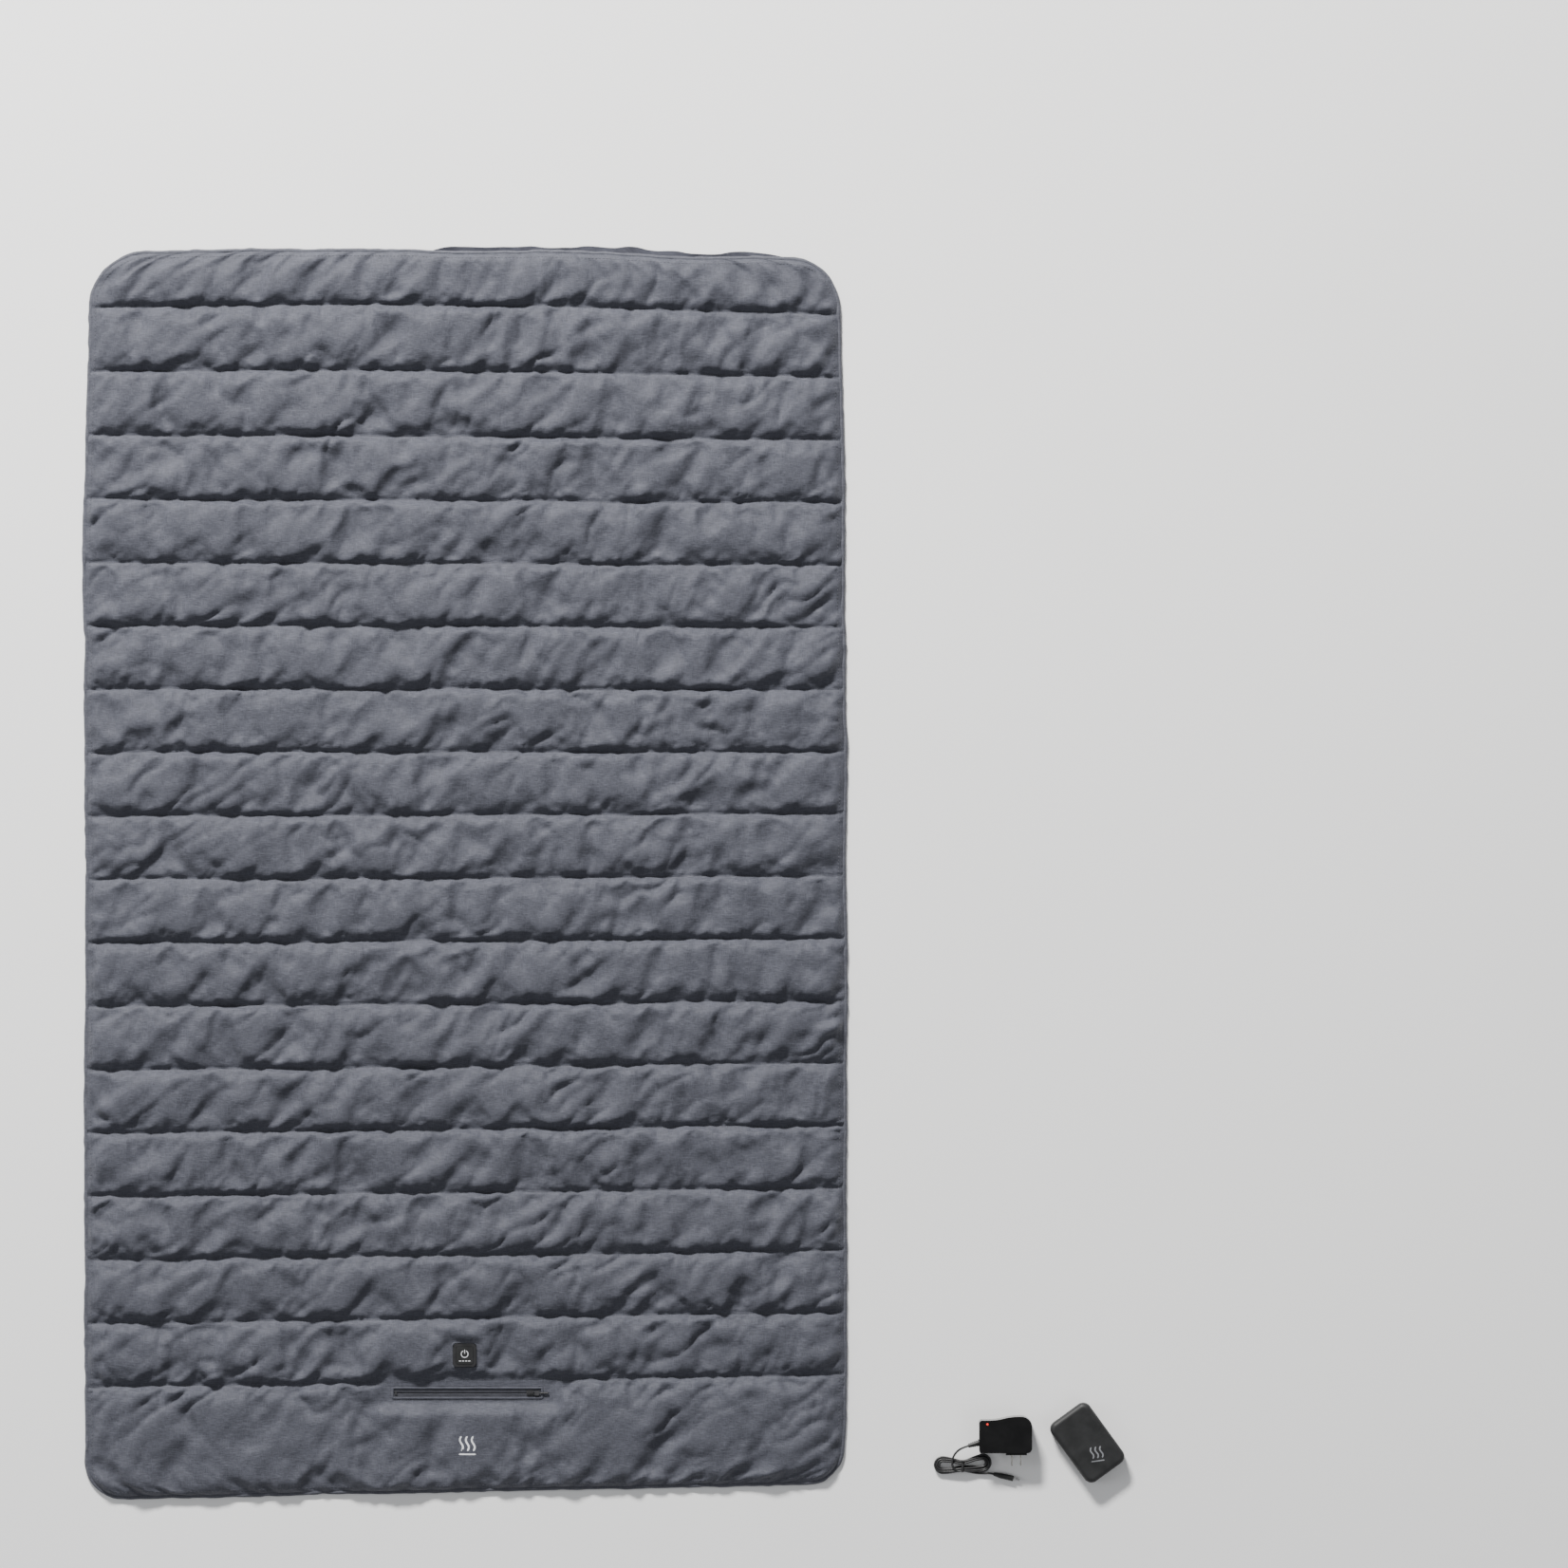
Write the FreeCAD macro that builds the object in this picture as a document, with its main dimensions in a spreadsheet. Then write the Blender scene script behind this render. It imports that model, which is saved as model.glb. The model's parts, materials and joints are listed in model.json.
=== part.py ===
import FreeCAD, Part
import math
import os
import re
import types

import Sketcher
from FreeCAD import Placement, Rotation, Vector

# A battery-heated quilted throw lying flat, quilted face up, with its battery pack and its
# wall charger beside it. Millimetres. The origin is the centre of the throw's underside,
# +Z is up and +Y points to the head end.

SIZES = [
    ("throw_width", 1100, "throw, side to side over the binding"),
    ("throw_length", 1800, "throw, head to foot over the binding"),
    ("throw_corner", 65, "corner radius of the throw"),
    ("rim_width", 5, "edge binding, seen from above"),
    ("rim_height", 6, "edge binding, thickness"),
    ("cloth", 0.6, "thickness of the face and of the lining"),
    ("seam_height", 5, "top of the filling under a seam"),
    ("crown_height", 15, "top of the filling between two seams"),
    ("head_crown", 13.5, "top of the filling in the narrow head channel"),
    ("first_seam", 820, "seam nearest the head, from the centre"),
    ("channel_pitch", 91.5, "seam to seam"),
    ("seam_count", 18, "number of quilting seams"),
    ("thread_radius", 0.5, "quilting thread"),
    ("side_height", 7, "filling height at the side edges, between seams"),
    ("side_taper", 45, "width of the thinning strip along each side"),
    ("foot_rise", 754, "where the foot panel starts to rise, from the centre"),
    ("foot_crown", 13.5, "top of the filling in the foot panel"),
    ("trough_half_width", 150, "space for the heating layer, half width"),
    ("trough_head", 590, "head end of that space"),
    ("trough_foot", 706, "foot end of that space, from the centre"),
    ("trough_top", 4.4, "top of that space"),
    ("pad_width", 250, "heating pad"),
    ("pad_length", 243, "heating pad"),
    ("pad_thickness", 0.6, "heating pad"),
    ("pad_upper", 456, "centre of the upper pad"),
    ("pad_middle", 74, "centre of the middle pad"),
    ("pad_lower", 341, "centre of the lower pad, towards the foot"),
    ("wire_diameter", 1.2, "heating wire"),
    ("row_level", 1.8, "height of the wire rows"),
    ("column_level", 3.05, "height of the wire columns"),
    ("thermostat_offset", 108, "thermostat, from the pad's centre line"),
    ("harness_diameter", 1.6, "cable from a pad to the connector"),
    ("harness_level", 3.3, "height of those cables"),
    ("connector_width", 20, "harness connector"),
    ("connector_depth", 10, "harness connector"),
    ("controller_y", 689, "button centre, towards the foot"),
    ("housing_side", 33.5, "controller housing"),
    ("housing_corner", 6, "controller housing"),
    ("housing_bottom", 9.5, "controller housing, underside"),
    ("housing_top", 17, "controller housing, top"),
    ("housing_wall", 1.6, "controller housing"),
    ("housing_room", 0.3, "gap between the housing and the cut cloth"),
    ("window_side", 25, "opening in the housing"),
    ("cap_side", 24.4, "push button"),
    ("flange_side", 27.5, "flange that keeps the button in"),
    ("flange_thickness", 1.5, "flange"),
    ("cap_bottom", 13.2, "underside of the button"),
    ("cap_top", 17.5, "top of the button, at rest"),
    ("mark_depth", 0.4, "how deep the light marks sit in the button"),
    ("plate_side", 42, "back plate that clamps the cloth"),
    ("plate_bottom", 7.9, "back plate, underside"),
    ("plate_thickness", 1.6, "back plate"),
    ("cable_hole", 2.5, "radius of the cable hole under the button"),
    ("screw_offset", 13, "housing screws, from the centre"),
    ("screw_radius", 0.8, "housing screws"),
    ("zip_y", 744, "zipper, towards the foot"),
    ("zip_left", 103, "left end of the zip window, from the centre"),
    ("zip_right", 110, "right end of the zip window"),
    ("zip_window", 12, "width of the zip window"),
    ("slit", 1, "gap between the two tapes"),
    ("tape_width", 10, "zipper tape"),
    ("tape_bottom", 4.3, "underside of the tapes"),
    ("tape_thickness", 0.6, "zipper tape"),
    ("coil_width", 2.2, "zipper coil"),
    ("coil_height", 1.4, "zipper coil"),
    ("slider_x", 94, "slider centre with the zip closed"),
    ("slider_length", 11, "slider"),
    ("slider_width", 8, "slider"),
    ("slider_plate", 1.2, "thickness of each slider plate"),
    ("slider_corner", 2.2, "rounding of the slider plates"),
    ("slider_bottom", 1.4, "underside of the lower plate"),
    ("slider_top", 6.4, "top of the upper plate"),
    ("bail_top", 9, "top of the slider's bridge"),
    ("bail_width", 1.6, "slider's bridge"),
    ("bail_length", 9, "slider's bridge"),
    ("bail_leg", 1.2, "legs of the bridge"),
    ("bail_thickness", 0.8, "slider's bridge"),
    ("pull_axis", 7.35, "height of the pull's pin"),
    ("pull_pin", 0.55, "radius of the pull's pin"),
    ("pull_arm", 1.2, "thickness of the pull"),
    ("pull_cord_radius", 1.2, "grip cord of the pull"),
    ("pull_cord_length", 14, "grip cord of the pull"),
    ("bag_half_width", 116, "pocket bag"),
    ("bag_wall", 0.4, "pocket bag cloth"),
    ("bag_bottom", 0.7, "pocket bag, underside"),
    ("bag_low_top", 4.3, "pocket bag under the zip"),
    ("bag_high_top", 8.2, "pocket bag in the foot panel"),
    ("bag_low_reach", 36, "pocket bag under the zip, from the zip towards the foot"),
    ("bag_low_span", 46, "pocket bag under the zip"),
    ("bag_high_reach", 121, "pocket bag in the foot panel, from the zip towards the foot"),
    ("bag_high_span", 86.5, "pocket bag in the foot panel"),
    ("lead_diameter", 2.6, "battery lead in the pocket"),
    ("lead_lane", 128, "battery lead beside the pocket, from the centre"),
    ("lead_y", 820, "battery lead where it enters the pocket, towards the foot"),
    ("lead_grip_x", 90, "where the lead enters its plug, from the centre"),
    ("lead_level", 2.6, "height of the battery lead"),
    ("lead_grip_radius", 3.25, "grip of the lead's plug"),
    ("lead_grip_length", 16, "grip of the lead's plug"),
    ("plug_radius", 1.75, "barrel of both low-voltage plugs"),
    ("plug_length", 9.5, "barrel of both low-voltage plugs"),
    ("pack_x", 897, "battery pack centre"),
    ("pack_y", 815, "battery pack centre, towards the foot"),
    ("pack_turn", -54, "battery pack's long axis, in degrees from +X"),
    ("pack_length", 104, "battery pack"),
    ("pack_width", 68, "battery pack"),
    ("pack_height", 24, "battery pack"),
    ("pack_corner", 12, "battery pack, seen from above"),
    ("pack_edge", 7, "battery pack, rounding of the long edges"),
    ("pack_wall", 2, "battery pack case"),
    ("jack_along", 36, "charging jack, from the pack's centre"),
    ("jack_radius", 3.2, "body of the charging jack"),
    ("jack_depth", 11, "body of the charging jack"),
    ("ring_radius", 4.6, "white ring round the jack"),
    ("ring_depth", 1.8, "white ring, let into the case"),
    ("cell_length", 78, "pouch cell"),
    ("cell_width", 56, "pouch cell"),
    ("cell_thickness", 8.6, "pouch cell"),
    ("charger_x", 741, "left end of the charger"),
    ("charger_y", 829, "face that meets the wall, towards the foot"),
    ("charger_length", 76, "charger"),
    ("charger_thickness", 30, "charger, lying on its side"),
    ("charger_low_depth", 47, "depth at the cord end"),
    ("charger_high_depth", 52.5, "depth at the blade end"),
    ("charger_wall", 2, "charger case"),
    ("cover_depth", 16, "depth of the cover behind the parting line"),
    ("plug_plate_length", 30, "raised plate round the blades"),
    ("plug_plate_height", 3, "raised plate round the blades"),
    ("blade_centre", 53.5, "middle of the two blades, from the left end"),
    ("blade_pitch", 12.7, "between the blades"),
    ("blade_length", 16, "blade beyond the plate"),
    ("blade_width", 6.35, "blade"),
    ("blade_thickness", 1.5, "blade"),
    ("led_along", 11.7, "charging light, from the charger's left end"),
    ("led_depth", 41.7, "charging light, from the wall face"),
    ("led_radius", 1.6, "charging light"),
    ("relief_offset", 14, "strain relief, from the wall face"),
    ("relief_length", 16.5, "strain relief"),
    ("relief_root", 4.5, "strain relief radius at the case"),
    ("relief_end", 2.6, "strain relief radius at the cord"),
    ("relief_turn", 16, "degrees by which the relief leans to the foot"),
    ("cord_diameter", 3, "charger cord"),
    ("hank_bottom", 0.8, "underside of the tied hank"),
    ("hank_top", 10.4, "top of the tied hank"),
    ("grip_radius", 4, "grip of the charger's plug"),
    ("grip_neck", 2.6, "grip radius at the cord"),
    ("grip_length", 29, "grip of the charger's plug"),
    ("grip_x", 762.4, "where the cord enters the plug"),
    ("grip_y", 861, "where the cord enters the plug, towards the foot"),
    ("grip_turn", -13, "plug's axis, in degrees from +X"),
]

doc = FreeCAD.newDocument("heated_throw")
sheet = doc.addObject("Spreadsheet::Sheet", "dims")
for row, (alias, value, note) in enumerate(SIZES, start=1):
    sheet.set(f"A{row}", note)
    sheet.set(f"B{row}", str(value))
    sheet.setAlias(f"B{row}", alias)
doc.recompute()

ALIASES = {alias for alias, value, note in SIZES}
size = types.SimpleNamespace(**{alias: float(sheet.get(alias)) for alias in ALIASES})
NODES = []


# ---------------------------------------------------------------- helpers

def formula(text):
    """A size written with the sheet's aliases, as an expression of the document."""

    def cell(word):
        return "dims." + word[0] if word[0] in ALIASES else word[0]

    return re.sub(r"[a-z][a-z_]*", cell, text)


def bind(item, **formulas):
    for name, text in formulas.items():
        item.setExpression(name, formula(text))
    return item


def place(item, at):
    for axis, text in zip("xyz", at):
        item.setExpression("Placement.Base." + axis, formula(text))
    return item


def part(name, item):
    """Marks an item as a finished piece of the object."""
    item.Label = name
    NODES.append(item)
    return item


def block(name, start, span):
    item = doc.addObject("Part::Box", name)
    bind(item, Length=span[0], Width=span[1], Height=span[2])
    return place(item, start)


TURNS = {
    "+z": Rotation(),
    "+x": Rotation(Vector(0, 1, 0), 90),
    "-x": Rotation(Vector(0, 1, 0), -90),
    "+y": Rotation(Vector(1, 0, 0), -90),
    "-y": Rotation(Vector(1, 0, 0), 90),
}


def rod(name, start, radius, length, along="+z"):
    item = doc.addObject("Part::Cylinder", name)
    bind(item, Radius=radius, Height=length)
    item.Placement = Placement(Vector(), TURNS[along])
    return place(item, start)


def cone(name, start, radius_from, radius_to, length, along="+z"):
    item = doc.addObject("Part::Cone", name)
    bind(item, Radius1=radius_from, Radius2=radius_to, Height=length)
    item.Placement = Placement(Vector(), TURNS[along])
    return place(item, start)


def minus(name, base, *tools):
    tool = tools[0] if len(tools) == 1 else joined(name + "_tools", *tools)
    item = doc.addObject("Part::Cut", name)
    item.Base = base
    item.Tool = tool
    return item


def joined(name, *items):
    item = doc.addObject("Part::MultiFuse", name)
    item.Shapes = list(items)
    return item


def shared(name, *items):
    item = doc.addObject("Part::MultiCommon", name)
    item.Shapes = list(items)
    return item


def group(name, *items):
    item = doc.addObject("Part::Compound", name)
    item.Links = list(items)
    return item


def rectangle(body, name, wide, tall):
    """A fully constrained rectangle about the body's origin, on its XY plane."""
    sketch = body.newObject("Sketcher::SketchObject", name)
    plane = [item for item in body.Origin.OriginFeatures if item.Role == "XY_Plane"][0]
    sketch.AttachmentSupport = (plane, [""])
    sketch.MapMode = "FlatFace"
    corners = [Vector(-5, -5, 0), Vector(5, -5, 0), Vector(5, 5, 0), Vector(-5, 5, 0)]
    for index in range(4):
        sketch.addGeometry(Part.LineSegment(corners[index], corners[(index + 1) % 4]), False)
    constraint = Sketcher.Constraint
    for index in range(4):
        sketch.addConstraint(constraint("Coincident", index, 2, (index + 1) % 4, 1))
    for index in (0, 2):
        sketch.addConstraint(constraint("Horizontal", index))
        sketch.addConstraint(constraint("Vertical", index + 1))
    sketch.addConstraint(constraint("Symmetric", 0, 1, 1, 2, -1, 1))
    width_row = sketch.addConstraint(constraint("DistanceX", 0, 1, 0, 2, 10))
    sketch.renameConstraint(width_row, "wide")
    height_row = sketch.addConstraint(constraint("DistanceY", 1, 1, 1, 2, 10))
    sketch.renameConstraint(height_row, "tall")
    sketch.setExpression("Constraints.wide", formula(wide))
    sketch.setExpression("Constraints.tall", formula(tall))
    return sketch


def is_upright(edge):
    first, last = edge.Vertexes[0].Point, edge.Vertexes[-1].Point
    return abs(first.z - last.z) > 1e-3


def is_level_outside(edge, levels):
    return any(abs(edge.CenterOfMass.z - level) < 1e-4 for level in levels)


def slab(name, at, span, corner=None, rim=None):
    """A plate about its own centre: corner rounds the upright edges, rim the level ones."""
    body = doc.addObject("PartDesign::Body", name)
    pad = body.newObject("PartDesign::Pad", name + "_pad")
    pad.Profile = rectangle(body, name + "_sketch", span[0], span[1])
    bind(pad, Length=span[2])
    doc.recompute()
    last = pad
    if corner:
        last = rounding(body, last, name + "_corners", corner, is_upright)
    if rim:
        levels = (last.Shape.BoundBox.ZMin, last.Shape.BoundBox.ZMax)
        last = rounding(body, last, name + "_rim", rim, lambda edge: is_level_outside(edge, levels))
    return place(body, at)


def rounding(body, base, name, radius, wanted):
    picked = [f"Edge{index}" for index, edge in enumerate(base.Shape.Edges, start=1) if wanted(edge)]
    item = body.newObject("PartDesign::Fillet", name)
    item.Base = (base, picked)
    bind(item, Radius=radius)
    doc.recompute()
    return item


def feature(name, shape):
    item = doc.addObject("Part::Feature", name)
    item.Shape = shape
    return item


def prism(name, wires, along, length):
    """A plane outline, given as one closed wire, drawn out along a direction."""
    item = doc.addObject("Part::Extrusion", name)
    item.Base = feature(name + "_outline", Part.Face(wires))
    item.DirMode = "Custom"
    item.Dir = along
    item.Solid = True
    bind(item, LengthFwd=length)
    return item


def tube(name, points, radius, diameter, share=None):
    """A round tube along straight runs and tangent arcs.

    Each arc has the given radius, or, where share is given, the largest that takes that
    share of the shorter run beside it.
    """
    edges = []
    start = points[0]
    radii = []
    for before, corner, after in zip(points, points[1:], points[2:]):
        inward = (before - corner).normalize()
        outward = (after - corner).normalize()
        half_turn = (math.pi - inward.getAngle(outward)) / 2
        arc_radius = radius
        if share:
            shorter = min((before - corner).Length, (after - corner).Length)
            arc_radius = share * shorter / math.tan(half_turn)
        radii.append(arc_radius)
        setback = arc_radius * math.tan(half_turn)
        first = corner + inward * setback
        last = corner + outward * setback
        middle_way = (inward + outward).normalize()
        middle = corner + middle_way * (arc_radius / math.cos(half_turn) - arc_radius)
        edges.append(Part.LineSegment(start, first).toShape())
        edges.append(Part.Arc(first, middle, last).toShape())
        start = last
    edges.append(Part.LineSegment(start, points[-1]).toShape())
    path = Part.Wire(edges)
    spine = feature(name + "_route", path)
    section = doc.addObject("Part::Circle", name + "_section")
    bind(section, Radius=diameter + " / 2")
    heading = (points[1] - points[0]).normalize()
    section.Placement = Placement(points[0], Rotation(Vector(0, 0, 1), heading))
    sweep = doc.addObject("Part::Sweep", name)
    sweep.Sections = [section]
    sweep.Spine = (spine, [f"Edge{index}" for index in range(1, len(edges) + 1)])
    sweep.Solid = True
    sweep.Frenet = False
    doc.recompute()
    width = getattr(size, diameter)
    expected = math.pi * width ** 2 / 4 * path.Length
    smallest = f", smallest radius {min(radii):.1f}" if radii else ""
    print(f"{name}: length {path.Length:.0f}{smallest}, volume / (section x length) "
          f"{sweep.Shape.Volume / expected:.4f}")
    return sweep


# ---------------------------------------------------------------- quilt layers

INNER_WIDTH = "throw_width - 2 * rim_width"
INNER_LENGTH = "throw_length - 2 * rim_width"
INNER_CORNER = "throw_corner - rim_width"
SEAMS = [size.first_seam - index * size.channel_pitch for index in range(int(size.seam_count))]


def channel_arc(first, last, crown, level):
    return Part.Arc(
        Vector(0, first, level), Vector(0, (first + last) / 2, crown), Vector(0, last, level)
    ).toShape()


def quilt_form(name, lift):
    """The filling's outer form, raised by lift on top: channels, thin sides, round corners."""
    half = size.throw_length / 2 - size.rim_width
    low = size.seam_height + lift
    edges = [channel_arc(half, SEAMS[0], size.head_crown + lift, low)]
    for first, last in zip(SEAMS, SEAMS[1:]):
        edges.append(channel_arc(first, last, size.crown_height + lift, low))
    edges.append(Part.makeLine(Vector(0, SEAMS[-1], low), Vector(0, -size.foot_rise, low)))
    edges.append(channel_arc(-size.foot_rise, -half, size.foot_crown + lift, low))
    floor_foot = Vector(0, -half, size.cloth)
    floor_head = Vector(0, half, size.cloth)
    edges.append(Part.makeLine(Vector(0, -half, low), floor_foot))
    edges.append(Part.makeLine(floor_foot, floor_head))
    edges.append(Part.makeLine(floor_head, Vector(0, half, low)))
    channels = prism(name + "_channels", Part.Wire(edges), Vector(1, 0, 0), INNER_WIDTH)
    place(channels, ("rim_width - throw_width / 2", "0", "0"))

    side = size.throw_width / 2 - size.rim_width
    slope = (size.crown_height - size.side_height) / size.side_taper
    inset = 1.5 * size.side_taper
    peak = size.side_height + slope * inset + lift
    section = Part.makePolygon([
        Vector(-side, 0, size.cloth), Vector(side, 0, size.cloth),
        Vector(side, 0, size.side_height + lift), Vector(side - inset, 0, peak),
        Vector(inset - side, 0, peak), Vector(-side, 0, size.side_height + lift),
        Vector(-side, 0, size.cloth),
    ])
    sides = prism(name + "_sides", section, Vector(0, 1, 0), INNER_LENGTH)
    place(sides, ("0", "rim_width - throw_length / 2", "0"))
    outline = slab(name + "_outline", ("0", "0", "0"), (INNER_WIDTH, INNER_LENGTH, "2 * crown_height"),
                   INNER_CORNER)
    return shared(name, channels, sides, outline)


def quilt():
    part("lining", slab("lining", ("0", "0", "0"), (INNER_WIDTH, INNER_LENGTH, "cloth"), INNER_CORNER))
    rim_outer = slab("rim_outer", ("0", "0", "0"), ("throw_width", "throw_length", "rim_height"),
                     "throw_corner")
    rim_inner = slab("rim_inner", ("0", "0", "0"), (INNER_WIDTH, INNER_LENGTH, "rim_height"), INNER_CORNER)
    part("edge_binding", minus("edge_binding", rim_outer, rim_inner))

    filling = quilt_form("filling_form", 0)
    skin = quilt_form("skin_form", size.cloth)
    hole_side = "housing_side + 2 * housing_room"
    well = slab("controller_well", ("0", "-controller_y", "housing_bottom + 0.2"),
                (hole_side, hole_side, "2 * crown_height"), "housing_corner")
    clamp_well = slab("clamp_well", ("0", "-controller_y", "plate_bottom - 0.1"),
                      ("plate_side + 2", "plate_side + 2", "plate_thickness + 0.3"), "housing_corner")
    cable_way = rod("cable_way", ("0", "-controller_y", "cloth"), "cable_hole", "plate_bottom")
    trough = block("trough", ("-trough_half_width", "-trough_foot", "cloth"),
                   ("2 * trough_half_width", "trough_foot + trough_head", "trough_top - cloth"))
    zip_slot = block("zip_slot", ("-bag_half_width - 2", "-zip_y - 16", "cloth"),
                     ("2 * bag_half_width + 4", "28", "seam_height - cloth"))
    bag_slot_low = block("bag_slot_low", ("-bag_half_width - 1", "-zip_y - 38", "cloth"),
                         ("2 * bag_half_width + 2", "50", "bag_low_top + 0.2 - cloth"))
    bag_slot_high = block("bag_slot_high", ("-bag_half_width - 1", "-zip_y - 122.5", "cloth"),
                          ("2 * bag_half_width + 2", "90.5", "bag_high_top + 0.4 - cloth"))
    lead_start = ("-lead_lane - 4", "-lead_y - 6", "cloth")
    lead_slot = block("lead_slot", lead_start, ("8", "126", "lead_level + 1.6 - cloth"))
    lead_branch = block("lead_branch", lead_start, ("17", "12", "lead_level + 1.6 - cloth"))
    hollowed = minus("hollowed_filling", filling, well, clamp_well, cable_way, trough, zip_slot,
                     bag_slot_low, bag_slot_high, lead_slot, lead_branch)
    foot_space = block("foot_space", ("-throw_width", "-throw_length", "-1"),
                       ("2 * throw_width", "throw_length + first_seam - (seam_count - 1) * channel_pitch",
                        "2 * crown_height"))
    part("batting", minus("batting", hollowed, foot_space))
    part("foot_batting", shared("foot_batting", hollowed, foot_space))
    zip_window = block("zip_window", ("-zip_left", "-zip_y - zip_window / 2", "0"),
                       ("zip_left + zip_right", "zip_window", "crown_height"))
    part("face_fabric", minus("face_fabric", skin, filling, well, zip_window))

    # The thread lies in the groove between two channels and touches both sides of it.
    threads = []
    for index in range(int(size.seam_count)):
        threads.append(rod(
            f"thread_{index + 1}",
            ("7 - throw_width / 2", f"first_seam - {index} * channel_pitch",
             "seam_height + cloth + 1.26 * thread_radius"),
            "thread_radius", "throw_width - 14", "+x"))
    part("quilt_stitching", group("quilt_stitching", *threads))


# ---------------------------------------------------------------- heating

ROW_PITCH = 21.5
HALF_PAD = 67.0
ROW_END = 117.0
COLUMN_REACH = 53.0
COLUMN_STEPS = (17.0, 23.0)
COLUMN_LEFT = -100.0


def row_points(y_centre):
    """Eight rows, four in each half of the pad, joined left and right in turn."""
    offsets = [1.5, 0.5, -0.5, -1.5]
    levels = [HALF_PAD + ROW_PITCH * offset for offset in offsets]
    levels += [-level for level in reversed(levels)]
    points = []
    for index, level in enumerate(levels):
        ends = (ROW_END, -ROW_END) if index % 2 == 0 else (-ROW_END, ROW_END)
        points += [Vector(x, y_centre + level, size.row_level) for x in ends]
    return points


def column_points(y_centre):
    """Eleven columns of one half pad, joined at the top and the bottom in turn."""
    points = []
    x = COLUMN_LEFT
    for index in range(11):
        ends = (-COLUMN_REACH, COLUMN_REACH) if index % 2 == 0 else (COLUMN_REACH, -COLUMN_REACH)
        points += [Vector(x, y_centre + end, size.column_level) for end in ends]
        x += COLUMN_STEPS[index % 2]
    return points


def heating():
    thermostats = []
    cables = []
    pads = (("upper", "pad_upper", 142, -691.5), ("middle", "pad_middle", 138, -689),
            ("lower", "-pad_lower", 134, -686.5))
    centres = {"upper": size.pad_upper, "middle": size.pad_middle, "lower": -size.pad_lower}
    for name, centre, lane, entry in pads:
        y_centre = centres[name]
        part("heating_pad_" + name,
             slab("heating_pad_" + name, ("0", centre, "cloth"),
                  ("pad_width", "pad_length", "pad_thickness"), "12"))
        rows = tube(f"rows_{name}", row_points(y_centre), 9, "wire_diameter")
        columns = [
            tube(f"columns_{name}_{side}", column_points(y_centre + shift), 7.5, "wire_diameter")
            for side, shift in (("head", HALF_PAD), ("foot", -HALF_PAD))
        ]
        part("heating_wire_" + name, group("heating_wire_" + name, rows, *columns))
        thermostats.append(block(
            "thermostat_" + name, ("thermostat_offset - 5", centre + " - 9", "cloth + pad_thickness + 0.05"),
            ("10", "18", "2.8")))
        start = Vector(size.thermostat_offset + 5, y_centre, size.harness_level)
        cables.append(tube(f"cable_{name}", [
            start, Vector(lane, y_centre, size.harness_level), Vector(lane, entry, size.harness_level),
            Vector(size.connector_width / 2, entry, size.harness_level)], 6, "harness_diameter"))
    part("pad_thermostats", group("pad_thermostats", *thermostats))
    riser = rod("riser", ("0", "-controller_y", "bag_low_top"), "1.5", "housing_bottom + 0.1 - bag_low_top")
    part("harness_cables", group("harness_cables", riser, *cables))
    part("harness_connector", slab(
        "harness_connector", ("0", "-controller_y", "cloth + 0.1"),
        ("connector_width", "connector_depth", "bag_low_top - cloth - 0.1"), "1"))


# ---------------------------------------------------------------- controller

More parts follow.
